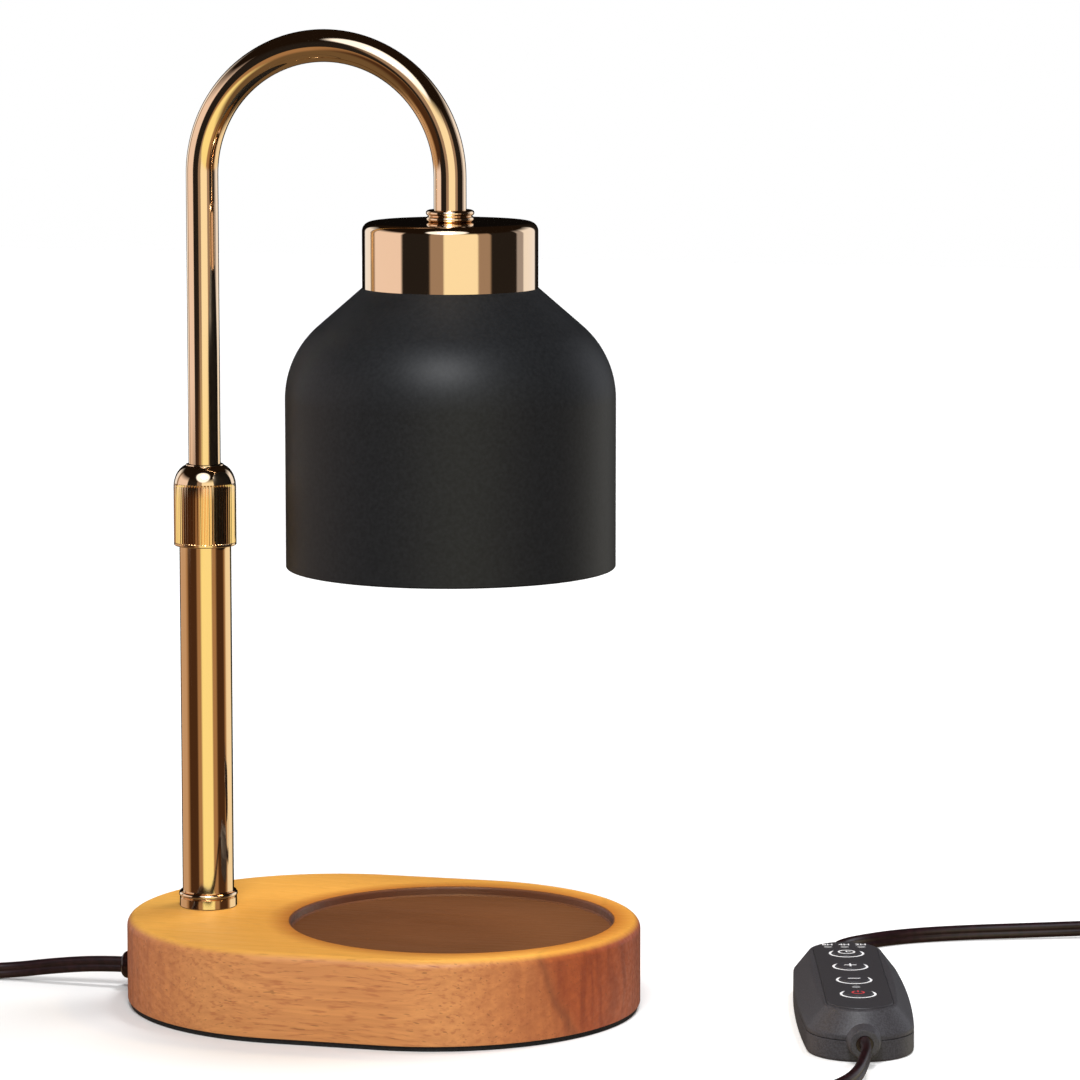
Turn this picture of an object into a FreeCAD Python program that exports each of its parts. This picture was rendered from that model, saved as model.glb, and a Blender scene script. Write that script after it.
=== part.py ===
import FreeCAD, Part
import math
import os

# Candle warmer lamp in millimetres, +Z up. The origin is the centre of the base's underside, on the table.
# +X runs from the post towards the shade, and -Y is the side that a user faces.

# Wooden base and what is under it. Its length follows from the post, the reach and the recess.
post_from_end = 23.0
recess_end_margin = 7.4
base_width = 126.0
wood_height = 26.0
wood_edge_round = 3.0
pad_thickness = 1.5
pad_inset = 0.8
recess_radius = 50.6
recess_depth = 3.0
recess_lip_round = 1.0
pocket_wall = 12.0
pocket_depth = 15.0
ballast_radius = 42.0
ballast_thickness = 6.0
ballast_from_seat = 2.0
ballast_screw_circle = 30.0
ballast_screw_count = 3
ballast_screw_bite = 5.5

# How far the shade stands from the post, and how high the arm's crook is
reach = 79.0
overall_height = 300.0

# Post
post_tube_radius = 8.0
post_tube_wall = 1.0
post_tube_length = 119.0
flange_radius = 8.9
flange_height = 5.0
flange_bead_radius = 9.15
flange_bead_height = 1.9
flange_floor = 1.5
flange_waist_inset = 0.2
nipple_radius = 5.0
nipple_bore_radius = 3.5
nipple_tail = 1.0
foot_length = 10.0
foot_thread_spare = 3.0
nut_across_flats = 14.0
nut_height = 5.0
washer_radius = 9.0
washer_thickness = 1.0
top_bush_spigot = 10.0
top_bush_boss = 7.0

# Clamp collar and collet at the top of the post
collar_radius = 9.65
collar_height = 25.2
collar_cover = 7.0
collar_dome_height = 6.8
collar_mouth_radius = 5.8
collar_rim_width = 0.7
collar_ribs = 60
collar_rib_depth = 0.4
collar_lip_height = 0.8
collet_height = 6.0
collet_foot_radius = 7.5
collet_top_radius = 6.3
collet_slit = 1.2
collet_play = 0.12

# Crook arm
arm_radius = 5.0
arm_wall = 0.8
arm_end_height = 86.0
arm_drop = 13.2
arm_ring_margin = 1.0
stop_ring_radius = 6.6
stop_ring_height = 1.2
guide_height = 12.0
ring_gap = 0.2
running_fit = 0.06
screw_fit = 0.1

# Cup over the lampholder
cup_radius = 26.7
cup_height = 20.0
cup_wall = 1.2
cup_edge_round = 2.8
ring_nut_radius = 7.35
ring_nut_height = 3.6
ring_nut_waist_inset = 0.5
cup_nut_height = 4.0
arm_thread_tail = 1.6

# Bracket, plate and lampholder
bracket_thickness = 1.0
bracket_width = 14.0
bracket_half_span = 11.5
bracket_foot_reach = 8.5
shade_screw_spread = 16.0
small_screw_radius = 1.5
small_head_radius = 2.8
small_head_height = 2.0
shade_screw_tail = 2.0
plate_radius = 23.0
plate_thickness = 1.2
plate_wire_hole = 4.0
holder_radius = 13.0
holder_height = 14.0
holder_chamfer = 1.5
holder_screw_spread = 8.5
holder_screw_recess = 3.0
pin_spread = 5.0
pin_shank_radius = 1.6
pin_head_radius = 2.4
pin_shank_length = 4.0
pin_head_length = 3.0
pin_hole_radius = 2.8
contact_thickness = 1.0
contact_gap = 0.1

# Shade
shade_radius = 50.3
shade_height = 85.2
shade_wall = 1.0
shade_cone_angle = 49.0
shade_shoulder_radius = 29.0
shade_hole_radius = 14.0

# Bulb
bulb_neck_radius = 12.4
bulb_neck_height = 10.0
bulb_radius = 25.0
bulb_length = 48.0
bulb_rim_height = 7.0
bulb_wall = 1.2
bulb_swell = 0.68
lens_thickness = 2.2
lens_inset = 0.3
capsule_radius = 4.5
capsule_length = 24.0

# Cord, its bushing in the base and the leads inside
cord_radius = 2.5
lead_radius = 2.2
lead_turn_radius = 5.5
slack_lead_play = 0.6
cord_exit_height = 7.1
grommet_radius = 4.3
grommet_shank_radius = 3.6
grommet_stand_out = 5.3
grommet_edge_round = 1.6
grommet_tail = 1.2
cord_play = 0.1

# Controller on the cord
controller_from_base = 65.7
controller_y = 10.4
controller_yaw = 15.0
controller_half_width = 17.2
controller_half_length = 53.0
controller_bow = 1.2
controller_wall = 1.6
controller_seam_height = 6.5
controller_side_height = 8.0
controller_plateau_height = 14.6
controller_bevel = 5.2
controller_foot_round = 1.0
panel_length = 93.0
panel_width = 19.8
panel_thickness = 1.4
panel_sink = 1.0
panel_play = 0.15
panel_ledge = 1.6
button_radius = 4.5
button_play = 0.2
button_proud = 0.5
button_edge_round = 0.3
button_flange = 0.7
button_flange_height = 1.0
button_stem_radius = 1.5
button_travel = 0.5
button_rest_gap = 0.1
button_places = {"timer_button": 29.0, "brighter_button": 10.3, "dimmer_button": -8.5, "power_button": -27.7}
hour_light_y = 38.7
hour_light_pitch = 5.2
hour_light_radius = 1.35
status_light_y = -18.0
light_proud = 0.1
board_length = 84.0
board_width = 15.0
board_thickness = 1.2
board_underside = 8.0
board_post_radius = 1.8
board_post_x = 5.0
board_post_y = 20.0
terminal_length = 5.0
terminal_height = 4.4
terminal_width = 10.0
switch_size = 6.0
switch_height = 1.8
switch_plunger_radius = 1.7
switch_plunger_height = 0.4
light_source_size = 1.6
light_source_height = 0.8
chip_box = (-3.1, 3.1, -6.0, 0.0, 1.6)
transistor_boxes = ((-6.5, -1.5, 7.0, 12.0, 2.4), (1.5, 6.5, 7.0, 12.0, 2.4))
capacitor_radius = 2.5
capacitor_length = 11.0
capacitor_y = -13.0
boss_x = 10.4
boss_y = 40.6
boss_radius = 2.5
shell_screw_radius = 1.1
shell_head_radius = 2.1
shell_head_height = 1.6
shell_head_recess = 2.4
shell_screw_length = 9.0
bush_height = 7.0
bush_neck_radius = 3.3
bush_inner_flange = 5.0
bush_inner_thickness = 1.6
bush_flange_setback = 3.4
rear_bush_width = 13.4
rear_bush_thickness = 9.0
rear_bush_length = 5.0
rear_bush_round = 2.6
rear_bush_overlap = 3.0
rear_bush_end_round = 1.0
front_bush_neck = 1.2
front_bush_length = 5.0
front_bush_radius = 5.2
front_bush_end_radius = 4.5
front_bush_edge_round = 0.8
cord_run_in = 12.0
cord_run_out = 11.0

# Coil of the spare cord, its tie and the plug
coil_from_base = 158.6
coil_y = 127.4
coil_outer_radius = 34.5
coil_pitch = 5.6
coil_layer_turns = 2.375
coil_climb_turns = 0.5
coil_start_angle = 105.0
coil_lead_in = 18.0
tie_thickness = 0.8
tie_width = 9.0
tie_edge_round = 2.0
tie_play = 0.1
tie_angle = 235.0
relief_length = 24.0
relief_tip_radius = 3.3
relief_root_radius = 4.8
relief_rings = 5
relief_groove_width = 1.4
relief_groove_depth = 0.3
plug_length = 27.0
plug_width = 23.0
plug_neck_width = 13.0
plug_neck_thickness = 11.0
plug_corner = 3.5
plug_shoulder = 12.0
blade_spread = 6.35
blade_width = 6.3
blade_thickness = 1.5
blade_length = 16.0
blade_hole_radius = 1.6
blade_hole_from_tip = 4.0

# Heights and places that follow from the sizes above
base_length = post_from_end + reach + recess_radius + recess_end_margin
base_left = -base_length / 2
base_right = base_length / 2
wood_bottom = pad_thickness
wood_top = wood_bottom + wood_height
recess_floor = wood_top - recess_depth
pocket_top = wood_bottom + pocket_depth
post_x = base_left + post_from_end
shade_x = post_x + reach
ballast_x = shade_x - ballast_from_seat
flange_seat = wood_top + flange_floor
post_tube_top = flange_seat + post_tube_length
post_bore = post_tube_radius - post_tube_wall
foot_top = flange_seat + foot_length
nut_bottom = pocket_top - washer_thickness - nut_height
nipple_bottom = nut_bottom - nipple_tail
nipple_top = foot_top - foot_thread_spare
collar_bottom = post_tube_top - collar_cover
collar_top = collar_bottom + collar_height
collet_bottom = post_tube_top + top_bush_boss
arch_radius = reach / 2
arch_height = overall_height - arm_radius - arch_radius
arm_bore = arm_radius - arm_wall
lower_ring = arm_end_height + arm_ring_margin
guide_bottom = lower_ring + stop_ring_height + ring_gap
upper_ring = guide_bottom + guide_height + ring_gap
cup_top = arch_height - arm_drop
bracket_top = cup_top - cup_wall
cup_nut_top = bracket_top - bracket_thickness
arm_tail = cup_nut_top - cup_nut_height - arm_thread_tail
cup_underside = cup_top - cup_height
shade_top = cup_underside
shade_bottom = shade_top - shade_height
plate_top = shade_top - shade_wall
holder_top = plate_top - plate_thickness
holder_bottom = holder_top - holder_height
pin_top = holder_bottom + pin_shank_length + pin_head_length
bulb_face = holder_bottom - bulb_length
cord_exit_x = base_left - grommet_stand_out
controller_x = base_right + controller_from_base
panel_bottom = controller_plateau_height - panel_sink
panel_top = panel_bottom + panel_thickness
board_top = board_underside + board_thickness
button_flange_top = panel_bottom - button_rest_gap
plunger_top = board_top + switch_height + switch_plunger_height
button_stem_bottom = plunger_top + button_travel + button_rest_gap
coil_x = base_right + coil_from_base
coil_height = cord_radius + tie_thickness + tie_play
coil_top_height = coil_height + coil_pitch
plug_thickness = 2 * coil_top_height

# Route of the cord from the base to the controller: out to the left, round in front of the base and back
# to the controller's near end. The last points lead straight into the bush.
lamp_cord_route = [
    (base_left, 0.0, cord_exit_height),
    (base_left - 12.0, 0.0, cord_exit_height),
    (base_left - 28.0, 0.0, 5.4),
    (base_left - 44.5, 0.6, 2.6),
    (base_left - 60.5, -3.5, cord_radius),
    (base_left - 73.0, -17.0, cord_radius),
    (base_left - 76.0, -41.0, cord_radius),
    (base_left - 67.5, -80.0, cord_radius),
    (base_left - 54.0, -119.0, cord_radius),
    (base_left - 31.5, -147.5, cord_radius),
    (base_left + 5.0, -158.5, cord_radius),
    (base_left + 54.0, -150.5, cord_radius),
    (base_right - 58.0, -132.0, cord_radius),
    (base_right - 9.0, -123.5, cord_radius),
    (base_right + 28.0, -112.0, cord_radius),
    (base_right + 55.0, -106.5, cord_radius),
    (base_right + 74.0, -97.5, 2.6),
    (base_right + 85.0, -81.5, 4.2),
]
# Route of the cord from the controller's far end to the coil.
mains_cord_route = [
    (base_right + 44.3, 92.5, 4.6),
    (base_right + 46.0, 109.5, 2.7),
    (base_right + 57.5, 124.5, cord_radius),
    (base_right + 76.0, 135.5, 2.6),
    (base_right + 100.0, 144.5, 2.9),
]


def vec(x, y, z):
    return FreeCAD.Vector(x, y, z)


def rod(radius, bottom, top, x=0.0, y=0.0):
    return Part.makeCylinder(radius, top - bottom, vec(x, y, bottom))


def ring(outer, inner, bottom, top, x=0.0, y=0.0):
    return rod(outer, bottom, top, x, y).cut(rod(inner, bottom - 1, top + 1, x, y))


def block(x0, x1, y0, y1, z0, z1):
    return Part.makeBox(x1 - x0, y1 - y0, z1 - z0, vec(x0, y0, z0))


def turned(x, start, *steps):
    """A solid of revolution about the upright line through x. A step is a (radius, height) point, or a
    pair of points for an arc: one that it passes through, and its end."""
    def place(point):
        return vec(x + point[0], 0, point[1])

    edges = []
    here = start
    for step in steps + (start,):
        if isinstance(step[0], tuple):
            edges.append(Part.Arc(place(here), place(step[0]), place(step[1])).toShape())
            here = step[1]
        elif step != here:
            edges.append(Part.LineSegment(place(here), place(step)).toShape())
            here = step
    return Part.Face(Part.Wire(edges)).revolve(vec(x, 0, 0), vec(0, 0, 1), 360)


def stadium(length, width, height):
    """An outline with straight sides and round ends, at one height."""
    radius = width / 2
    half = length / 2 - radius
    corners = [vec(-half, -radius, height), vec(half, -radius, height)]
    corners += [vec(half, radius, height), vec(-half, radius, height)]
    edges = [
        Part.LineSegment(corners[0], corners[1]).toShape(),
        Part.Arc(corners[1], vec(length / 2, 0, height), corners[2]).toShape(),
        Part.LineSegment(corners[2], corners[3]).toShape(),
        Part.Arc(corners[3], vec(-length / 2, 0, height), corners[0]).toShape(),
    ]
    return Part.Wire(edges)


def slab(length, width, bottom, top):
    return Part.Face(stadium(length, width, bottom)).extrude(vec(0, 0, top - bottom))


def rounded(solid, radius, chosen):
    """Rounds the edges that the test picks out."""
    return solid.makeFillet(radius, [edge for edge in solid.Edges if chosen(edge)])


def lies_at(edge, height):
    box = edge.BoundBox
    return abs(box.ZMin - height) < 0.001 and abs(box.ZMax - height) < 0.001


def hexagon(across_flats, bottom, top, x):
    corner = across_flats / math.sqrt(3)
    points = [vec(x + corner * math.cos(math.pi * n / 3), corner * math.sin(math.pi * n / 3), bottom)
              for n in range(7)]
    return Part.Face(Part.makePolygon(points)).extrude(vec(0, 0, top - bottom))


def group(solids):
    """Separate solids that share one node."""
    return Part.makeCompound(solids)


def bend(start, start_way, end, end_way):
    """Two arcs that leave start along start_way and reach end along end_way."""
    across = end - start
    ways = start_way + end_way
    spare = 2 * (1 - start_way.dot(end_way))
    along = across.dot(ways)
    if spare < 1e-9:
        reach_out = across.dot(across) / (2 * along)
    else:
        reach_out = (-along + math.sqrt(along * along + spare * across.dot(across))) / spare
    first = start + start_way * reach_out
    second = end - end_way * reach_out
    middle = (first + second) * 0.5
    return [arc_through(start, first, middle), arc_through(middle, second, end)]


def arc_through(start, corner, end):
    """The arc that is tangent to both legs of a corner."""
    chord_middle = (start + end) * 0.5
    to_corner = corner - chord_middle
    half_chord = (end - start).Length / 2
    if to_corner.Length < 1e-6:
        return Part.LineSegment(start, end).toShape()
    leg_angle = math.atan2(to_corner.Length, half_chord)
    rise = half_chord * math.tan(leg_angle / 2)
    top = chord_middle + to_corner.normalize() * rise
    return Part.Arc(start, top, end).toShape()


def swept(path, radius):
    """A round bar along a smooth path."""
    first = path.Edges[0]
    begin = first.valueAt(first.FirstParameter)
    way = first.tangentAt(first.FirstParameter)
    section = Part.Wire(Part.Circle(begin, way, radius).toShape())
    return path.makePipeShell([section], True, False)


def route_tube(name, points, radius):
    """A cord along straight runs joined by arcs that are as large as the runs allow."""
    corners = [vec(*point) for point in points]
    edges = []
    radii = []
    here = corners[0]
    for before, corner, after in zip(corners, corners[1:], corners[2:]):
        back = before - corner
        ahead = after - corner
        turn = math.pi - back.getAngle(ahead)
        trim = 0.45 * min(back.Length, ahead.Length)
        radii.append(trim / math.tan(turn / 2))
        arc_start = corner + back.normalize() * trim
        arc_end = corner + ahead.normalize() * trim
        edges.append(Part.LineSegment(here, arc_start).toShape())
        edges.append(arc_through(arc_start, corner, arc_end))
        here = arc_end
    edges.append(Part.LineSegment(here, corners[-1]).toShape())
    path = Part.Wire(edges)
    tube = swept(path, radius)
    expected = math.pi * radius ** 2 * path.Length
    print(name, "length", round(path.Length, 1), "arc radii", [round(radius, 1) for radius in radii],
          "volume over section times length", round(tube.Volume / expected, 4))
    return tube


def barrel(inset, height):
    """The controller's outline: long bowed sides and round ends, all tangent, drawn in by the inset."""
    half_width = controller_half_width
    side_half = controller_half_length - half_width
    for _ in range(6):
        slope = 2 * math.atan(controller_bow / side_half)
        end_radius = (half_width - controller_bow) / math.cos(slope)
        side_half = controller_half_length - end_radius + end_radius * math.sin(slope)
    side_radius = side_half / math.sin(slope)
    end_centre = controller_half_length - end_radius
    small = end_radius - inset
    large = side_radius - inset
    side_centre = half_width - side_radius
    joint_x = small * math.cos(slope)
    joint_y = end_centre + small * math.sin(slope)
    right = side_centre + large
    right_side = Part.Arc(vec(joint_x, -joint_y, height), vec(right, 0, height),
                          vec(joint_x, joint_y, height))
    left_side = Part.Arc(vec(-joint_x, joint_y, height), vec(-right, 0, height),
                         vec(-joint_x, -joint_y, height))
    far_end = Part.Arc(vec(joint_x, joint_y, height), vec(0, end_centre + small, height),
                       vec(-joint_x, joint_y, height))
    near_end = Part.Arc(vec(-joint_x, -joint_y, height), vec(0, -end_centre - small, height),
                        vec(joint_x, -joint_y, height))
    return Part.Wire([edge.toShape() for edge in (right_side, far_end, left_side, near_end)])


def barrel_block(inset, bottom, top):
    return Part.Face(barrel(inset, bottom)).extrude(vec(0, 0, top - bottom))


def oblong(length, width, bottom, top):
    """A block with round ends, along Y."""
    return slab(length, width, bottom, top).rotate(vec(0, 0, 0), vec(0, 0, 1), 90)


def placed(shape, x, y, yaw):
    """A piece modelled along Y at the origin, turned about Z and moved to its place on the table."""
    moved = shape.copy()
    moved.rotate(vec(0, 0, 0), vec(0, 0, 1), yaw)
    moved.translate(vec(x, y, 0))
    return moved


def ballast_screw_places():
    step = 2 * math.pi / ballast_screw_count
    return [(ballast_x + ballast_screw_circle * math.cos(n * step), ballast_screw_circle * math.sin(n * step))
            for n in range(ballast_screw_count)]


# Base

def wood_base():
    wood = slab(base_length, base_width, wood_bottom, wood_top)
    wood = rounded(wood, wood_edge_round, lambda edge: lies_at(edge, wood_top))
    wood = wood.cut(rod(recess_radius - recess_lip_round, recess_floor, wood_top + 1, shade_x))
    wood = rounded(wood, recess_lip_round, lambda edge: lies_at(edge, wood_top)
                   and edge.BoundBox.XLength < 2 * recess_radius
                   and isinstance(edge.Curve, Part.Circle)
                   and abs(edge.Curve.Center.x - shade_x) < 0.001)
    wood = wood.cut(slab(base_length - 2 * pocket_wall, base_width - 2 * pocket_wall,
                         wood_bottom - 1, pocket_top))
    wood = wood.cut(rod(nipple_radius + screw_fit, pocket_top - 1, wood_top + 1, post_x))
    wood = wood.cut(Part.makeCylinder(grommet_shank_radius, pocket_wall + 2,
                                      vec(base_left - 1, 0, cord_exit_height), vec(1, 0, 0)))
    for x, y in ballast_screw_places():
        wood = wood.cut(rod(small_screw_radius, pocket_top - 1, pocket_top + ballast_screw_bite, x, y))
    return wood


def base_pad():
    return slab(base_length - 2 * pad_inset, base_width - 2 * pad_inset, 0, pad_thickness)


def ballast_plate():
    plate = rod(ballast_radius, pocket_top - ballast_thickness, pocket_top, ballast_x)
    for x, y in ballast_screw_places():
        plate = plate.cut(rod(small_screw_radius + screw_fit, 0, wood_top, x, y))
    return plate


def ballast_screws():
    seat = pocket_top - ballast_thickness
    screws = []
    for x, y in ballast_screw_places():
        head = rod(small_head_radius, seat - small_head_height, seat, x, y)
        screws.append(head.fuse(rod(small_screw_radius, seat, pocket_top + ballast_screw_bite, x, y)))
    return group(screws)


def cord_grommet():
    centre = vec(cord_exit_x, 0, cord_exit_height)
    way = vec(1, 0, 0)
    head = Part.makeCylinder(grommet_radius, grommet_stand_out, centre, way)
    head = rounded(head, grommet_edge_round, lambda edge: abs(edge.BoundBox.XMax - cord_exit_x) < 0.001)
    shank = Part.makeCylinder(grommet_shank_radius, grommet_stand_out + pocket_wall + grommet_tail, centre, way)
    bore = Part.makeCylinder(cord_radius + cord_play, base_length, centre - way, way)
    return head.fuse(shank).cut(bore)


# Post

def post_flange():
    band_top = wood_top + flange_height - flange_bead_height
    top = wood_top + flange_height
    bead_middle = (band_top + top) / 2
    inner = post_tube_radius
    return turned(
        post_x,
        (nipple_radius + screw_fit, wood_top),
        (flange_radius, wood_top),
        (flange_radius, band_top),
        ((flange_bead_radius, bead_middle), (flange_radius - flange_waist_inset, top)),
        (inner, top),
        (inner, flange_seat),
        (nipple_radius + screw_fit, flange_seat),
    )


def post_nipple():
    return ring(nipple_radius, nipple_bore_radius, nipple_bottom, nipple_top, post_x)


def post_nut():
    nut = hexagon(nut_across_flats, nut_bottom, nut_bottom + nut_height, post_x)
    return nut.cut(rod(nipple_radius, 0, wood_top, post_x))


def post_washer():
    bottom = nut_bottom + nut_height
    return ring(washer_radius, nipple_radius + screw_fit, bottom, bottom + washer_thickness, post_x)


def post_foot():
    return ring(post_bore, nipple_radius, flange_seat, foot_top, post_x)


def post_tube():
    return ring(post_tube_radius, post_bore, flange_seat, post_tube_top, post_x)


def post_top_bush():
    inner = arm_radius + running_fit
    spigot = ring(post_bore, inner, post_tube_top - top_bush_spigot, post_tube_top, post_x)
    return spigot.fuse(ring(post_tube_radius, inner, post_tube_top, collet_bottom, post_x))


def collet_ring():
    inner = arm_radius + running_fit
    top = collet_bottom + collet_height
    collet = turned(post_x, (inner, collet_bottom), (collet_foot_radius, collet_bottom),
                    (collet_top_radius, top), (inner, top))
    slit = block(post_x - collet_slit / 2, post_x + collet_slit / 2, 0, collet_foot_radius + 1,
                 collet_bottom - 1, top + 1)
    return collet.cut(slit)


def clamp_collar():
    dome_bottom = collar_top - collar_dome_height
    core_radius = collar_radius - collar_rib_depth
    bore = post_tube_radius + running_fit
    rim = collar_mouth_radius + collar_rim_width
    # The dome is a quarter of an ellipse, drawn as one arc through the ellipse's point at 45 degrees.
    dome_via = (rim + (collar_radius - rim) * math.sqrt(0.5),
                dome_bottom + collar_dome_height * math.sqrt(0.5))
    body = turned(
        post_x,
        (bore, collar_bottom),
        (core_radius, collar_bottom),
        (collar_radius, collar_bottom + collar_lip_height / 2),
        (core_radius, collar_bottom + collar_lip_height),
        (core_radius, dome_bottom),
        (collar_radius, dome_bottom),
        (dome_via, (rim, collar_top)),
        (collar_mouth_radius, collar_top),
        (collar_mouth_radius, collet_bottom + collet_height + collet_play),
        (collet_top_radius + collet_play, collet_bottom + collet_height + collet_play),
        (collet_foot_radius + collet_play, collet_bottom + collet_play),
        (bore, collet_bottom + collet_play),
    )
    points = []
    for n in range(2 * collar_ribs + 1):
        radius = collar_radius if n % 2 == 0 else core_radius
        angle = math.pi * n / collar_ribs
        points.append(vec(post_x + radius * math.cos(angle), radius * math.sin(angle),
                          collar_bottom + collar_lip_height))
    height = dome_bottom - collar_bottom - collar_lip_height
    ribs = Part.Face(Part.makePolygon(points)).extrude(vec(0, 0, height))
    ribs = ribs.cut(rod(core_radius - collar_rib_depth, 0, collar_top, post_x))
    return body.fuse(ribs)


# Crook arm and what turns with it

def arm_path(bottom, tail):
    """Up from the post, over the arch and down to the cup."""
    left = vec(post_x, 0, arch_height)
    right = vec(shade_x, 0, arch_height)
    top = vec(post_x + arch_radius, 0, arch_height + arch_radius)
    edges = [
        Part.LineSegment(vec(post_x, 0, bottom), left).toShape(),
        Part.Arc(left, top, right).toShape(),
        Part.LineSegment(right, vec(shade_x, 0, tail)).toShape(),
    ]
    return Part.Wire(edges)


def arm_tube():
    path = arm_path(arm_end_height, arm_tail)
    return swept(path, arm_radius).cut(swept(path, arm_bore))


def arm_stop_rings():
    rings = [ring(stop_ring_radius, arm_radius, bottom, bottom + stop_ring_height, post_x)
             for bottom in (lower_ring, upper_ring)]
    return group(rings)


def guide_bush():
    return ring(post_bore - running_fit, arm_radius + running_fit, guide_bottom, guide_bottom + guide_height,
                post_x)


def arm_lead():
    return swept(arm_path(arm_end_height, holder_top), lead_radius)


def post_lead():
    """From the bushing through the base, up the threaded tube to the top of the post's foot."""
    start = vec(base_left, 0, cord_exit_height)
    corner = vec(post_x, 0, cord_exit_height)
    arc_start = corner - vec(lead_turn_radius, 0, 0)
    arc_end = corner + vec(0, 0, lead_turn_radius)
    edges = [
        Part.LineSegment(start, arc_start).toShape(),
        arc_through(arc_start, corner, arc_end),
        Part.LineSegment(arc_end, vec(post_x, 0, foot_top)).toShape(),
    ]
    return swept(Part.Wire(edges), lead_radius)


def slack_lead():
    """The spare length in the post that lets the arm rise: it waves from side to side in the bore."""
    swing = post_bore - lead_radius - slack_lead_play
    height = arm_end_height - foot_top
    shares = [(0.0, 0.0), (0.0, 0.1), (swing, 0.28), (-swing, 0.5), (swing, 0.72), (0.0, 0.9), (0.0, 1.0)]
    points = [(post_x + side, 0.0, foot_top + share * height) for side, share in shares]
    return route_tube("slack_lead", points, lead_radius)


# Cup, bracket, lampholder and bulb

def cup_ring_nut():
    half = ring_nut_height / 2
    waist = ring_nut_radius - ring_nut_waist_inset
    return turned(
        shade_x,
        (arm_radius, cup_top),
        (waist, cup_top),
        ((ring_nut_radius, cup_top + half / 2), (waist, cup_top + half)),
        ((ring_nut_radius, cup_top + 1.5 * half), (waist, cup_top + ring_nut_height)),
        (arm_radius, cup_top + ring_nut_height),
    )


def socket_cup():
    outer_corner = cup_edge_round * (1 - math.sqrt(0.5))
    inner_round = cup_edge_round - cup_wall
    inner_corner = inner_round * (1 - math.sqrt(0.5))
    inner = cup_radius - cup_wall
    under = cup_top - cup_wall
    return turned(
        shade_x,
        (arm_radius + screw_fit, cup_top),
        (cup_radius - cup_edge_round, cup_top),
        ((cup_radius - outer_corner, cup_top - outer_corner), (cup_radius, cup_top - cup_edge_round)),
        (cup_radius, cup_underside),
        (inner, cup_underside),
        (inner, under - inner_round),
        ((inner - inner_corner, under - inner_corner), (inner - inner_round, under)),
        (arm_radius + screw_fit, under),
    )


def cup_nut():
    nut = hexagon(nut_across_flats, cup_nut_top - cup_nut_height, cup_nut_top, shade_x)
    return nut.cut(rod(arm_radius, 0, overall_height, shade_x))


def holder_bracket():
    half = bracket_width / 2
    span = bracket_half_span
    strip = block(-span, span, -half, half, cup_nut_top, bracket_top)
    for side in (-1, 1):
        leg_edges = sorted((side * span, side * (span - bracket_thickness)))
        foot_edges = sorted((side * (span - bracket_thickness), side * (span + bracket_foot_reach)))
        strip = strip.fuse(block(*leg_edges, -half, half, shade_top, bracket_top))
        strip = strip.fuse(block(*foot_edges, -half, half, shade_top, shade_top + bracket_thickness))
        strip = strip.cut(rod(small_screw_radius, shade_top - 1, shade_top + 5, side * shade_screw_spread))
    strip = strip.cut(rod(arm_radius + screw_fit, cup_nut_top - 1, bracket_top + 1))
    strip.translate(vec(shade_x, 0, 0))
    return strip


def holder_plate():
    plate = ring(plate_radius, plate_wire_hole, holder_top, plate_top, shade_x)
    for side in (-1, 1):
        plate = plate.cut(rod(small_screw_radius + screw_fit, 0, overall_height,
                              shade_x + side * shade_screw_spread))
        plate = plate.cut(rod(small_screw_radius, 0, overall_height, shade_x, side * holder_screw_spread))
    return plate


def shade_screws():
    screws = []
    for side in (-1, 1):
        x = shade_x + side * shade_screw_spread
        head = rod(small_head_radius, holder_top - small_head_height, holder_top, x)
        tail = shade_top + bracket_thickness + shade_screw_tail
        screws.append(head.fuse(rod(small_screw_radius, holder_top, tail, x)))
    return group(screws)


def lampholder():
    body = turned(
        shade_x,
        (0, holder_bottom),
        (holder_radius - holder_chamfer, holder_bottom),
        (holder_radius, holder_bottom + holder_chamfer),
        (holder_radius, holder_top),
        (0, holder_top),
    )
    recess_top = holder_bottom + holder_screw_recess
    for side in (-1, 1):
        body = body.cut(rod(pin_hole_radius, holder_bottom - 1, pin_top + contact_gap + contact_thickness,
                            shade_x + side * pin_spread))
        y = side * holder_screw_spread
        body = body.cut(rod(small_head_radius + screw_fit, holder_bottom - 1, recess_top, shade_x, y))
        body = body.cut(rod(small_screw_radius + screw_fit, holder_bottom, holder_top + 1, shade_x, y))
    return body


def holder_screws():
    seat = holder_bottom + holder_screw_recess
    screws = []
    for side in (-1, 1):
        y = side * holder_screw_spread
        head = rod(small_head_radius, seat - small_head_height, seat, shade_x, y)
        screws.append(head.fuse(rod(small_screw_radius, seat, plate_top, shade_x, y)))
    return group(screws)


def holder_contacts():
    bottom = pin_top + contact_gap
    return group([rod(pin_hole_radius, bottom, bottom + contact_thickness, shade_x + side * pin_spread)
                  for side in (-1, 1)])


def bulb_base():
    return rod(bulb_neck_radius, holder_bottom - bulb_neck_height, holder_bottom, shade_x)


def bulb_pins():
    shank_top = holder_bottom + pin_shank_length
    pins = []
    for side in (-1, 1):
        x = shade_x + side * pin_spread
        pins.append(rod(pin_shank_radius, holder_bottom, shank_top, x).fuse(
            rod(pin_head_radius, shank_top, pin_top, x)))
    return group(pins)


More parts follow.
